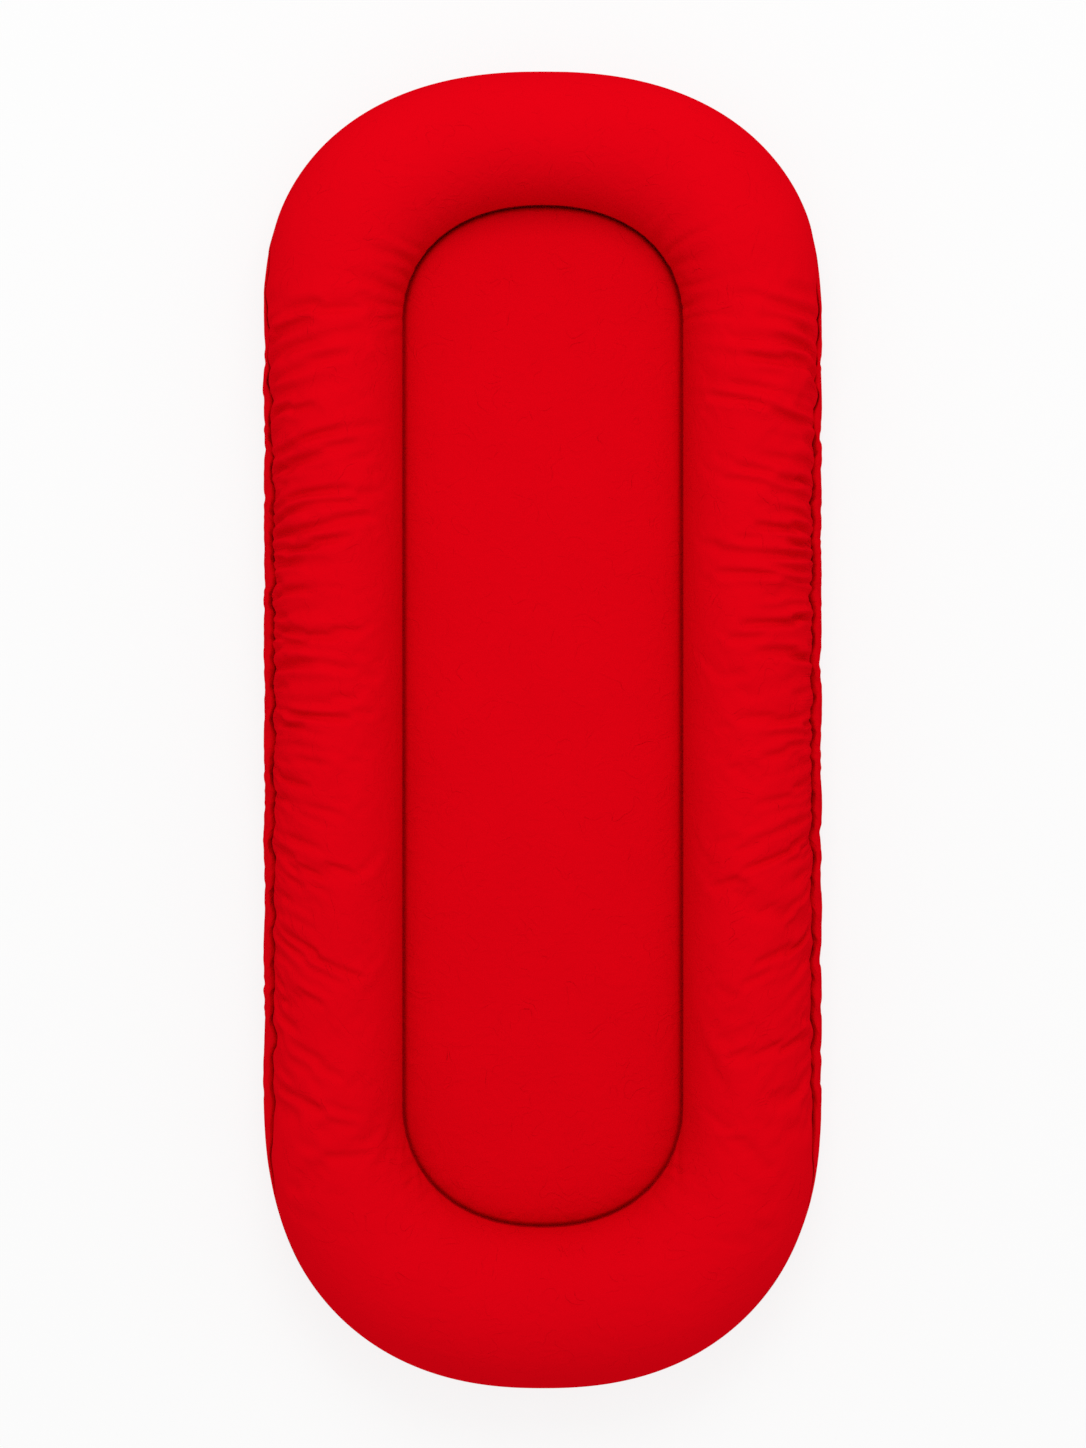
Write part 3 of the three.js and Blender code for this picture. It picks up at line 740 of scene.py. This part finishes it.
red = (0.69, 0.0007, 0.0058)
red_sheen = (1.0, 0.03, 0.06)
crinkle_scale = 62
crinkle_thinness = 24
crinkle_share = 0.30
patch_scale_share = 0.6
pinch_scale = 190
pinch_thinness = 14
pinch_height = 0.00035
pinch_stretch = 9


def crinkles(tree, coordinates, scale, height, under, thinness, stretch=1.0, attribute=None):
    """Adds thin curved crinkles, here and there or as strong as an attribute says. Stretch makes
    them longer along the cloth's own rise than across it."""
    along = add_node(tree, "ShaderNodeMapping", {"Vector": coordinates, "Scale": (1, 1 / stretch, 1)})
    noise = add_node(tree, "ShaderNodeTexNoise", {
        "Vector": along.outputs["Vector"], "Scale": scale, "Detail": 1, "Distortion": 0.8,
    })
    line = noise.outputs["Fac"]
    for operation, value in (("SUBTRACT", 0.5), ("ABSOLUTE", 0), ("MULTIPLY", -thinness), ("ADD", 1)):
        step = add_node(tree, "ShaderNodeMath", {0: line, 1: value}, operation=operation)
        step.use_clamp = operation == "ADD"
        line = step.outputs[0]
    if attribute is None:
        patches = add_node(tree, "ShaderNodeTexNoise", {
            "Vector": coordinates, "Scale": patch_scale_share * scale,
        })
        here = add_node(tree, "ShaderNodeMapRange", {
            "Value": patches.outputs["Fac"], "From Min": 0.4, "From Max": 0.65,
        })
        strength = here.outputs["Result"]
    else:
        strength = add_node(tree, "ShaderNodeAttribute", {}, attribute_name=attribute).outputs["Fac"]
    share = add_node(tree, "ShaderNodeMath", {0: line, 1: strength}, operation="MULTIPLY")
    return bump_of(tree, share.outputs[0], height, under)


def red_cloth(name, colour, roughness, sheen, thread, crinkle):
    """Fine red cloth: a plain weave, soft and worm-like crinkles and a little drift in colour."""
    finish, tree, cloth = new_finish(name, {
        "Roughness": roughness,
        "Specular IOR Level": 0,
        "Sheen Weight": sheen,
        "Sheen Roughness": 0.2,
        "Sheen Tint": (*red_sheen, 1),
    })
    soft = noise_bump(tree, cloth, scale=60, height=crinkle, distortion=1.2)
    curled = crinkles(tree, cloth, crinkle_scale, crinkle_share * crinkle, soft, crinkle_thinness)
    pinched = crinkles(
        tree, cloth, pinch_scale, pinch_height, curled, pinch_thinness, pinch_stretch, "pinched"
    )
    shade(tree, {
        "Base Color": colour_drift(tree, cloth, colour, darker=0.93, scale=14),
        "Normal": weave(tree, cloth, thread, height=0.00006, under=pinched),
    })
    return finish


cover_finish = red_cloth(
    "red_cover_cloth", red, roughness=0.9, sheen=0.02, thread=0.0009, crinkle=0.0010
)

bolster_cloth = cloth_grid("bolster_cloth", panels[: seam_row + 1], panel_cloth[: seam_row + 1])
band_cloth = cloth_grid("side_band_cloth", panels[seam_row:], panel_cloth[seam_row:])
pinch_from_turn = 0.68
pinch_turn_run = 0.25
band_pinch = 0.4
band_pinch_loss = 0.2
pinch_share = np.concatenate([
    eased((fine_turn - pinch_from_turn) / pinch_turn_run),
    band_pinch - band_pinch_loss * fine_band_turn,
])
pinched_here = pinch_share * ring_at(fine_s)[3]
cover_thickness = 0.0012
for piece, node, rows in (
    (bolster_cloth, "bolster_cover", slice(0, seam_row + 1)),
    (band_cloth, "side_band", slice(seam_row, None)),
):
    pinched = piece.data.attributes.new("pinched", "FLOAT", "POINT")
    pinched.data.foreach_set("value", pinched_here[rows].reshape(-1))
    thicken(piece, cover_thickness)
    piece.data.materials.append(cover_finish)
    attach(piece, "lounger")
    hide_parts(node)


# Side elastics: flat woven bands sewn stretched inside the side seams. They spring back by about
# a sixth of their length, and that is what gathers the cloth.
elastic_width_rows = 3
elastic_room = 0.0022
elastic_thickness = 0.0008
elastic_reach = 0.31

elastic_finish, elastic_tree, elastic_cloth = new_finish(
    "woven_elastic", {"Roughness": 0.8, "Base Color": (0.78, 0.76, 0.72, 1)}
)
shade(elastic_tree, {"Normal": weave(elastic_tree, elastic_cloth, thread=0.0012, height=0.0003)})

strip_rows = np.arange(seam_row - elastic_width_rows, seam_row)
for strip, node, on_right in (
    ("elastic_strip_right", "elastic_right", True),
    ("elastic_strip_left", "elastic_left", False),
):
    within_reach = np.abs(from_side_middle(fine_s)) < elastic_reach
    strip_columns = np.flatnonzero(within_reach & ((fine_s < girth / 2) == on_right))
    strip_points = panels[np.ix_(strip_rows, strip_columns)].copy()
    strip_points[..., :2] -= ring_at(fine_s[strip_columns])[1] * elastic_room
    strip_cloth = panel_cloth[np.ix_(strip_rows, strip_columns)]
    elastic = cloth_grid(strip, strip_points, strip_cloth, ring=False)
    thicken(elastic, elastic_thickness)
    elastic.data.materials.append(elastic_finish)
    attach(elastic, "lounger")
    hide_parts(node)


# Inner wall: a strip of white lining between the bolster and the pad. Its upper edge is caught
# in the crease seam and its lower edge is sewn to the base, which keeps the pad in its place.
wall_low = 0.0115
wall_high = 0.0365
wall_rows = 8
wall_columns = 400
wall_thickness = 0.0008
wall_ripple_height = 0.0003
wall_ripple_along = 300
wall_ripple_up = 40

lining_finish, lining_tree, lining_cloth = new_finish("white_lining", {"Roughness": 0.85})
shade(lining_tree, {
    "Base Color": colour_drift(lining_tree, lining_cloth, (0.87, 0.86, 0.83), darker=0.95, scale=30),
    "Normal": weave(lining_tree, lining_cloth, thread=0.0005, height=0.00008),
})

wall_s = np.broadcast_to(np.arange(wall_columns) / wall_columns * girth, (wall_rows, wall_columns))
wall_up = np.linspace(wall_low, wall_high, wall_rows)[:, None] + 0 * wall_s
wall_sine = (waist - wall_up) / lower_depth
wall_ripple = wall_ripple_height * np.sin(wall_s * wall_ripple_along + wall_ripple_up * wall_up)
wall_out = tube_half(wall_s) * (1 - np.sqrt(1 - wall_sine ** 2)) + wall_ripple
wall_points = lay(wall_s, wall_out, wall_up)
inner_lining = cloth_grid("inner_lining", wall_points, flat_cloth(wall_s, wall_points))
thicken(inner_lining, wall_thickness)
inner_lining.data.materials.append(lining_finish)
wall_ring_length = float(np.linalg.norm(np.diff(crease_line, axis=0), axis=1).sum())
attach(inner_lining, "lounger")
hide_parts("inner_wall")


# Pad: a flat sheet of polyester fibre in a casing of white cotton, slipped in under the pad
# cover. It is thinner at its edge, where the crease seam presses it down.
pad_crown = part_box("pad_cover")[1][2]
pad_fall = 0.0086
soft_edge_share = 0.55
soft_edge_reach = 0.016
sharp_edge_reach = 0.0052
head_edge_share = 0.3
head_edge_start = 0.31
head_edge_run = 0.08
least_half_width = 0.001
least_height = 0.001
pad_rows = 260
pad_columns = 64
tip_start = 0.0006
pad_layer_room = 0.003
pad_side_room = 0.003
pad_casing_room = 0.0012
pad_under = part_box("pad_casing_bottom")[0][2]
pad_casing_thickness = 0.0005


def beyond_crease(points):
    """How far points of the plan lie outside the crease line, less than zero inside it."""
    line = crease_line[::3]
    start, step = line[:-1], np.diff(line, axis=0)
    flat = points.reshape(-1, 2)
    nearest = np.full(len(flat), np.inf)
    for corner, edge in zip(start, step):
        length = edge @ edge
        if length == 0:
            continue
        along = np.clip((flat - corner) @ edge / length, 0, 1)
        gap = flat - corner - along[:, None] * edge
        nearest = np.minimum(nearest, np.einsum("ij,ij->i", gap, gap))
    right = crease_line[: half_count + 1]
    edge_x = np.interp(-flat[:, 1], -right[:, 1], right[:, 0], left=-1, right=-1)
    inside = np.abs(flat[:, 0]) < edge_x
    return (np.sqrt(nearest) * np.where(inside, -1, 1)).reshape(points.shape[:-1])


def pad_lines(room, columns):
    """Points of the plan in lines across the pad, closer together at both ends of each line."""
    s = np.linspace(tip_start, girth / 2 - tip_start, pad_rows)
    crease = ring_at(s)[0]
    share = np.linspace(1, -1, columns)
    share = (share + np.sin(share * math.pi / 2)) / 2
    across = np.maximum(crease[:, :1] - room, least_half_width) * share
    middle = (crease_head + crease_foot) / 2
    shrink = 1 - room / (crease_head - middle)
    along = middle + (crease[:, 1:] - middle) * shrink
    return np.stack([across, along + 0 * across], axis=-1)


def pad_height(plan, room):
    """Height of the pad's top, room being how deep the layer lies below the cover."""
    inwards = np.maximum(-beyond_crease(plan), 0)
    to_head = eased((plan[..., 1] - head_edge_start) / head_edge_run)
    fullness = 1 - (1 - head_edge_share) * to_head
    soft_share = soft_edge_share * fullness
    soft = soft_share * np.exp(-inwards / soft_edge_reach)
    sharp = (1 - soft_share) * np.exp(-inwards / (sharp_edge_reach * fullness))
    return pad_crown - pad_fall * (soft + sharp) - room


def close_tips(piece, points, coordinates):
    """Closes both ends of a tube-shaped piece with a face each."""
    rows, columns = points.shape[:2]
    open_mesh = piece.data
    head_tip = tuple(range(0, rows * columns, columns))
    foot_tip = tuple(range(columns - 1, rows * columns, columns))
    faces = [tuple(face.vertices) for face in open_mesh.polygons] + [head_tip, foot_tip[::-1]]
    closed_mesh = bpy.data.meshes.new(piece.name)
    closed_mesh.from_pydata(points.reshape(-1, 3).tolist(), [], faces)
    closed_mesh.polygons.foreach_set("use_smooth", [True] * len(faces))
    cloth = closed_mesh.uv_layers.new(name="cloth")
    vertex = np.empty(len(closed_mesh.loops), dtype=int)
    closed_mesh.loops.foreach_get("vertex_index", vertex)
    cloth.data.foreach_set("uv", coordinates.reshape(-1, 2)[vertex].reshape(-1))
    piece.data = closed_mesh
    bpy.data.meshes.remove(open_mesh)


def pad_layer(name, loops, finish, node, thickness):
    """One layer of the pad from rows of points that run lengthwise. The fibre, which has no
    thickness of its own, is closed all round."""
    points = np.stack(loops)
    along = rise_along(points.swapaxes(0, 1)).swapaxes(0, 1)
    coordinates = np.stack([along, rise_along(points)], axis=-1)
    closed = thickness == 0
    piece = cloth_grid(name, points, coordinates, ring=False, tube_shaped=closed)
    if closed:
        close_tips(piece, points, coordinates)
    else:
        thicken(piece, thickness)
    piece.data.materials.append(finish)
    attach(piece, "lounger")
    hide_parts(node)


def pad_loops(room, side_room, first, last):
    """Lengthwise rows round the pad's section: 0 is the right edge, 1 the left edge over the top,
    and 2 the right edge again, past the flat bottom."""
    loops = []
    plan = pad_lines(side_room, pad_columns)
    top = pad_height(plan, room)
    bottom = pad_under + room - pad_layer_room + least_height
    count = pad_columns - 1
    for index in range(first * count, last * count + 1):
        if index <= count:
            column = index
            height = top[:, column]
        else:
            column = 2 * count - index
            height = np.minimum(top[:, column], bottom)
        loops.append(np.concatenate([plan[:, column], height[:, None]], axis=-1))
    return loops


fibre_loops = pad_loops(pad_layer_room + pad_casing_room, pad_side_room + pad_casing_room, 0, 2)[:-1]
pad_layer("pad_fibre", fibre_loops, fibre_finish, "pad_core", 0)
for layer, node, first in (
    ("pad_casing_upper", "pad_casing_top", 0),
    ("pad_casing_lower", "pad_casing_bottom", 1),
):
    casing_loops = pad_loops(pad_layer_room, pad_side_room, first, first + 1)
    pad_layer(layer, casing_loops, cotton_finish, node, pad_casing_thickness)


# Pad cover: one smooth panel of the red cloth over the pad, sewn to the bolster cover along the
# crease, where it turns in.
pad_tuck_under = 0.0012
pad_swell = 0.0005
swell_along = 47
swell_across = 38
swell_bend = 1.3
swell_bend_across = 30
swell_edge = 0.03
pad_pucker = 0.00025
pad_pucker_pitch = 0.014
pad_pucker_reach = 0.012
pad_straight_x = 0.06
pad_turn_reach = 0.0038

pad_plan = pad_lines(-pad_tuck_under, 2 * pad_columns)
pad_inwards = np.maximum(-beyond_crease(pad_plan), 0)
pad_x, pad_y = pad_plan[..., 0], pad_plan[..., 1]
pad_up = pad_height(pad_plan, 0)
swell = np.sin(pad_y * swell_along + swell_bend * np.sin(pad_x * swell_bend_across))
pad_up += pad_swell * swell * np.sin(pad_x * swell_across + 1) * eased(pad_inwards / swell_edge)
pad_along = np.where(np.abs(pad_x) > pad_straight_x, pad_y, pad_x)
pucker = np.sin(pad_along * 2 * math.pi / pad_pucker_pitch)
pad_up += pad_pucker * pucker * np.exp(-pad_inwards / pad_pucker_reach)
pad_up -= crease_tuck_depth * eased(1 - pad_inwards / pad_turn_reach)
pad_points = np.concatenate([pad_plan, pad_up[..., None]], axis=-1)
pad_cloth = thicken(cloth_grid("pad_cloth", pad_points, pad_plan, ring=False), cover_thickness)
pad_cloth.data.materials.append(cover_finish)
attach(pad_cloth, "lounger")
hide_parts("pad_cover")


# Crease stitching: a row of short red thread stitches beside the crease, through bolster cover,
# lining and pad cover.
stitch_pitch = 0.0034
stitch_length = 0.0026
stitch_radius = 0.00032
stitch_sides = 6
crease_stitch_turn = 0.014

thread_finish, thread_tree, thread_place = new_finish(
    "red_thread", {"Roughness": 0.5, "Specular IOR Level": 0.3}, on_cloth=False
)
shade(thread_tree, {
    "Base Color": colour_drift(thread_tree, thread_place, (0.72, 0.004, 0.012), darker=0.8, scale=400),
    "Normal": noise_bump(thread_tree, thread_place, scale=3000, height=0.0001),
})


def stitch_row(name, centres, ways, ups):
    """Short thread stitches, each from its middle, the way it runs and the way it stands up."""
    along = np.array([-0.5, -0.42, 0, 0.42, 0.5])[:, None, None] * stitch_length
    swell = np.array([0.25, 0.8, 1, 0.8, 0.25])[:, None, None] * stitch_radius
    arch = np.array([-0.6, 0, 0.3, 0, -0.6])[:, None, None] * stitch_radius
    turn = (np.arange(stitch_sides) / stitch_sides * 2 * math.pi)[:, None]
    sides = np.cross(ways, ups)
    centres, ways, ups, sides = [vectors[:, None, None] for vectors in (centres, ways, ups, sides)]
    points = centres + ways * along + ups * (arch + swell * np.sin(turn)) + sides * swell * np.cos(turn)
    count, rings = points.shape[:2]
    ring = np.arange(rings - 1)[:, None] * stitch_sides
    here = np.arange(stitch_sides)[None]
    after = (here + 1) % stitch_sides
    corners = [ring + here, ring + after, ring + after + stitch_sides, ring + here + stitch_sides]
    first_points = (np.arange(count) * rings * stitch_sides)[:, None, None]
    faces = np.stack(corners, axis=-1).reshape(-1, 4)[None] + first_points
    mesh = bpy.data.meshes.new(name)
    mesh.from_pydata(points.reshape(-1, 3).tolist(), [], faces.reshape(-1, 4).tolist())
    mesh.polygons.foreach_set("use_smooth", [True] * len(mesh.polygons))
    mesh.materials.append(thread_finish)
    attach(new_object(name, mesh), "lounger")


def unit(vectors):
    return vectors / np.linalg.norm(vectors, axis=-1, keepdims=True)


crease_count = int(wall_ring_length / stitch_pitch)
crease_s = np.arange(crease_count) / crease_count * girth
crease_centres = cover_at(crease_s, np.full(crease_count, crease_stitch_turn))
crease_ways = unit(np.roll(crease_centres, -1, axis=0) - np.roll(crease_centres, 1, axis=0))
crease_rises = unit(cover_at(crease_s, np.full(crease_count, crease_stitch_turn * 2)) - crease_centres)
crease_ups = unit(np.cross(crease_ways, crease_rises))
crease_inwards = -ring_at(crease_s)[1]
crease_ups *= np.sign(np.einsum("ij,ij->i", crease_ups[:, :2], crease_inwards))[:, None]
stitch_row("crease_stitching", crease_centres, crease_ways, crease_ups)


# Base panels: two halves of firmer red cloth, sewn to the side bands all round and to each other
# beyond the zip. They lie flat under the bolster and are drawn up under the pad.
base_rise = 0.009
base_flat_end = 0.0246
base_rise_width = 0.0088
base_columns = 56
base_column_power = 1.25
base_rows = 320
base_thickness = 0.0012
slot_half_width = 0.007
slot_half_length = 0.290
slot_corner = 0.003
least_panel = 0.0005
hem_width = 0.006
hem_edge = 0.0008
hem_thickness = 0.0006
base_ripple = 0.00025
base_ripple_seed = 21
base_ripple_start = 0.02
base_ripple_run = 0.02
base_wave = 0.0004
base_wave_run = 0.03
base_wave_x = 35
base_wave_y = 61

base_finish = red_cloth(
    "red_base_cloth", (0.60, 0.0009, 0.0055), roughness=0.92, sheen=0.05, thread=0.0013, crinkle=0.0008
)

base_s = np.linspace(tip_start / 2, girth / 2 - tip_start / 2, base_rows)
base_edge = band_at(base_s, np.ones(base_rows))[:, :2]
slot_share = eased((slot_half_length - np.abs(base_edge[:, 1])) / slot_corner)
slot_edge = np.minimum(slot_half_width * slot_share, base_edge[:, 0] - least_panel)
base_share = np.linspace(0, 1, base_columns) ** base_column_power
base_x = slot_edge[:, None] + (base_edge[:, :1] - slot_edge[:, None]) * base_share
base_y = base_edge[:, 1:] + 0 * base_x
base_plan = np.stack([base_x, base_y], axis=-1)
base_out = beyond_crease(base_plan)
base_up = base_rise * eased((base_flat_end - base_out) / base_rise_width)
near_edge = eased(base_share[None] * 3 - 2)
under_bolster = eased((base_out - base_ripple_start) / base_ripple_run)
base_waves = 1 + seam_waves(base_s, base_ripple_seed)[:, None]
base_up += base_ripple * base_waves * (1 - near_edge) * under_bolster
under_pad = eased(-base_out / base_wave_run)
base_up += base_wave * np.sin(base_y * base_wave_y + base_x * base_wave_x) * under_pad
hem = (1 - eased((base_x - slot_edge[:, None] - hem_width) / hem_edge)) * slot_share[:, None]
base_up -= hem_thickness * hem
for panel, node, side in (
    ("base_cloth_right", "base_panel_right", 1),
    ("base_cloth_left", "base_panel_left", -1),
):
    base_points = np.stack([side * base_x, base_y, np.maximum(base_up, 0)], axis=-1)[:, ::side]
    base_cloth = np.stack([side * base_x, base_y], axis=-1)[:, ::side]
    base = thicken(cloth_grid(panel, base_points, base_cloth, ring=False), base_thickness)
    base.data.materials.append(base_finish)
    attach(base, "lounger")
    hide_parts(node)
    base_area = float(np.trapz(base_edge[::-1, 0], base_edge[::-1, 1]))
    base_size = (float(base_edge[:, 0].max()), float(np.ptp(base_edge[:, 1])))
    base_area = min(base_area, base_size[0] * base_size[1])

tape_stitch_x = (0.0095, 0.0125)
tape_stitch_y = np.arange(-slot_half_length, slot_half_length, stitch_pitch)
tape_centres = np.array([
    (side * x, y, base_rise - hem_thickness + base_wave * math.sin(y * base_wave_y + x * base_wave_x))
    for side in (1, -1) for x in tape_stitch_x for y in tape_stitch_y
])
tape_ways = np.tile([0.0, 1, 0], (len(tape_centres), 1))
tape_ups = np.tile([0.0, 0, -1], (len(tape_centres), 1))
stitch_row("tape_stitching", tape_centres, tape_ways, tape_ups)


# Zip tapes: two tapes woven of red polyester. Each is sewn inside one hem of the slot, with two
# rows of stitches, and carries a coil along its other edge.
tape_across = 15
tape_along = 260
tape_wave_height = 0.0001
tape_wave_along = 200
tape_room = 0.00005
tape_thinner = 0.0002

tape_finish, tape_tree, tape_cloth = new_finish(
    "red_zip_tape", {"Roughness": 0.75, "Specular IOR Level": 0.2}
)
shade(tape_tree, {
    "Base Color": colour_drift(tape_tree, tape_cloth, (0.52, 0.001, 0.005), darker=0.9, scale=80),
    "Normal": weave(tape_tree, tape_cloth, thread=0.0007, height=0.00015),
})

for side, name in ((1, "right"), (-1, "left")):
    low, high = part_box("zip_tape_" + name)
    share_x = np.linspace(0, 1, tape_across)[None]
    share_y = np.linspace(1, 0, tape_along)[:, None]
    tape_x = low[0] + (high[0] - low[0]) * share_x + 0 * share_y
    tape_y = low[1] + (high[1] - low[1]) * share_y + 0 * share_x
    tape_wave = tape_wave_height * np.sin(tape_y * tape_wave_along) * np.sin(share_x * math.pi)
    tape_points = np.stack([tape_x, tape_y, low[2] + tape_room + np.abs(tape_wave)], axis=-1)
    tape = cloth_grid("tape_" + name, tape_points, tape_points[..., :2], ring=False)
    thicken(tape, high[2] - low[2] - tape_thinner)
    tape.data.materials.append(tape_finish)
    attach(tape, "lounger")
    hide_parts("zip_tape_" + name)


# Zip coils: a nylon thread wound into a flattened coil along the edge of each tape. The coils
# lock into each other where the slider has passed.
coil_pitch = 0.0015
coil_thread = 0.00022
coil_steps = 10
coil_sides = 5

coil_finish, coil_tree, coil_place = new_finish("red_nylon", {"Roughness": 0.35}, on_cloth=False)
shade(coil_tree, {
    "Base Color": colour_drift(coil_tree, coil_place, (0.42, 0.001, 0.004), darker=0.85, scale=200),
})


def wind_coil(low, high, side):
    """Points round a thread that is wound inside a box, in rows that run along the thread."""
    turns = int((high[1] - low[1]) / coil_pitch)
    fitted_pitch = (high[1] - low[1] - 2 * coil_thread) / turns
    angle = np.arange(turns * coil_steps + 1) / coil_steps * 2 * math.pi
    half_x = (high[0] - low[0]) / 2 - coil_thread
    half_z = (high[2] - low[2]) / 2 - coil_thread
    line = np.stack([
        (low[0] + high[0]) / 2 + side * half_x * np.cos(angle),
        low[1] + coil_thread + angle / (2 * math.pi) * fitted_pitch,
        (low[2] + high[2]) / 2 + half_z * np.sin(angle),
    ], axis=-1)
    way = unit(np.gradient(line, axis=0))
    out = np.stack([side * np.cos(angle) / half_x, 0 * angle, np.sin(angle) / half_z], axis=-1)
    out = unit(out - way * np.einsum("ij,ij->i", out, way)[:, None])
    turn = (np.arange(coil_sides) / coil_sides * 2 * math.pi)[:, None, None]
    return line + coil_thread * (out * np.cos(turn) + np.cross(way, out) * np.sin(turn))


for side, name in ((1, "right"), (-1, "left")):
    coil_points = wind_coil(*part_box("zip_teeth_" + name), side)
    no_cloth = np.zeros(coil_points.shape[:2] + (2,))
    coil = cloth_grid("coil_" + name, coil_points, no_cloth, ring=False, tube_shaped=True)
    coil.data.materials.append(coil_finish)
    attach(coil, "lounger")
    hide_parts("zip_teeth_" + name)


# Zip stops, slider and pull: small zinc castings with red enamel, their edges rounded by the
# tumbling that they get before the enamel. The pull hangs from the slider's bridge.
cast_rounding = 0.00018

enamel_finish, enamel_tree, enamel_place = new_finish("red_enamel", {
    "Roughness": 0.28, "Metallic": 0.2, "Specular IOR Level": 0.3, "Coat Weight": 0.2,
}, on_cloth=False)
shade(enamel_tree, {
    "Base Color": colour_drift(enamel_tree, enamel_place, (0.50, 0.001, 0.005), darker=0.8, scale=300),
    "Normal": noise_bump(enamel_tree, enamel_place, scale=700, height=0.00005),
})

for casting, node, body in (
    ("stop_right", "zip_top_stop_right", "lounger"),
    ("stop_left", "zip_top_stop_left", "lounger"),
    ("end_stop", "zip_bottom_stop", "lounger"),
    ("slider_casting", "zip_slider", "slider"),
    ("pull_casting", "zip_pull", "pull"),
):
    cast = new_object(casting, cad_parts[node].data.copy())
    cast.data.materials.clear()
    cast.data.materials.append(enamel_finish)
    rounding = cast.modifiers.new("rounding", "BEVEL")
    rounding.width = cast_rounding
    rounding.segments = 2
    rounding.limit_method = "ANGLE"
    rounding.angle_limit = math.radians(35)
    cast.data.polygons.foreach_set("use_smooth", [False] * len(cast.data.polygons))
    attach(cast, body)
    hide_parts(node)


# The stage: a plain pale floor, soft light from the head end and the camera straight above. It
# is no part of the lounger. The camera sees the backdrop and floor as almost white.
frame_height = 1.1584
frame_level = 0.025
camera_lens = 200
sensor = 36
camera_way = camera_lens / sensor * frame_height + frame_level
view_centre = (0.0002, 0.0052)

camera_data = bpy.data.cameras.new("camera")
camera_data.lens = camera_lens
camera_data.sensor_width = sensor
camera_data.clip_end = 50
camera = new_object("camera", camera_data)
camera.location = (*view_centre, camera_way)
bpy.context.scene.camera = camera


def seen_directly(tree, share):
    """A share for what the camera sees straight, in a mirror or through glass, and 0 for light."""
    path = add_node(tree, "ShaderNodeLightPath", {})
    seen = path.outputs["Is Camera Ray"]
    for ray in ("Is Glossy Ray", "Is Transmission Ray"):
        either = add_node(tree, "ShaderNodeMath", {0: seen, 1: path.outputs[ray]}, operation="MAXIMUM")
        seen = either.outputs[0]
    return add_node(tree, "ShaderNodeMath", {0: seen, 1: share}, operation="MULTIPLY").outputs[0]


def show_instead(tree, lit, shown, share, output):
    """Gives an output the lit shader, mixed with the shown one where the camera sees it."""
    mix = add_node(tree, "ShaderNodeMixShader", {
        0: seen_directly(tree, share), 1: lit.outputs[0], 2: shown.outputs[0],
    })
    fill_inputs(tree, tree.nodes[output], {"Surface": mix.outputs[0]})


white = (1, 1, 1, 1)
studio = bpy.data.worlds.new("studio")
studio.use_nodes = True
studio_tree = studio.node_tree
soft_light = studio_tree.nodes["Background"]
fill_inputs(studio_tree, soft_light, {"Color": white, "Strength": 0.785})
backdrop = add_node(studio_tree, "ShaderNodeBackground", {"Color": white, "Strength": 0.94})
show_instead(studio_tree, soft_light, backdrop, 1, "World Output")
bpy.context.scene.world = studio

lamp_data = bpy.data.lights.new("soft_lamp", "AREA")
lamp_data.shape = "SQUARE"
lamp_data.size = 1.6
lamp_data.energy = 35
lamp = new_object("soft_lamp", lamp_data)
lamp.location = (0.1, 1.5, 2.6)
lamp.rotation_euler = (math.radians(-30), 0, math.radians(-3.8))

floor_reach = 6
floor_drop = 0.0005
glow_share = 0.86
floor_mesh = bpy.data.meshes.new("floor")
floor_corners = [(x * floor_reach, y * floor_reach, 0) for x, y in ((-1, -1), (1, -1), (1, 1), (-1, 1))]
floor_mesh.from_pydata(floor_corners, [], [(0, 1, 2, 3)])
floor = new_object("floor", floor_mesh)
floor.location.z = -floor_drop
floor_finish = bpy.data.materials.new("pale_floor")
floor_finish.use_nodes = True
floor_tree = floor_finish.node_tree
shade(floor_tree, {"Base Color": (0.94, 0.94, 0.94, 1), "Roughness": 1, "Specular IOR Level": 0})
floor_glow = add_node(floor_tree, "ShaderNodeEmission", {"Color": white, "Strength": 0.97})
show_instead(
    floor_tree, floor_tree.nodes["Principled BSDF"], floor_glow, glow_share, "Material Output"
)
floor_mesh.materials.append(floor_finish)

bpy.context.scene.view_settings.view_transform = "Standard"
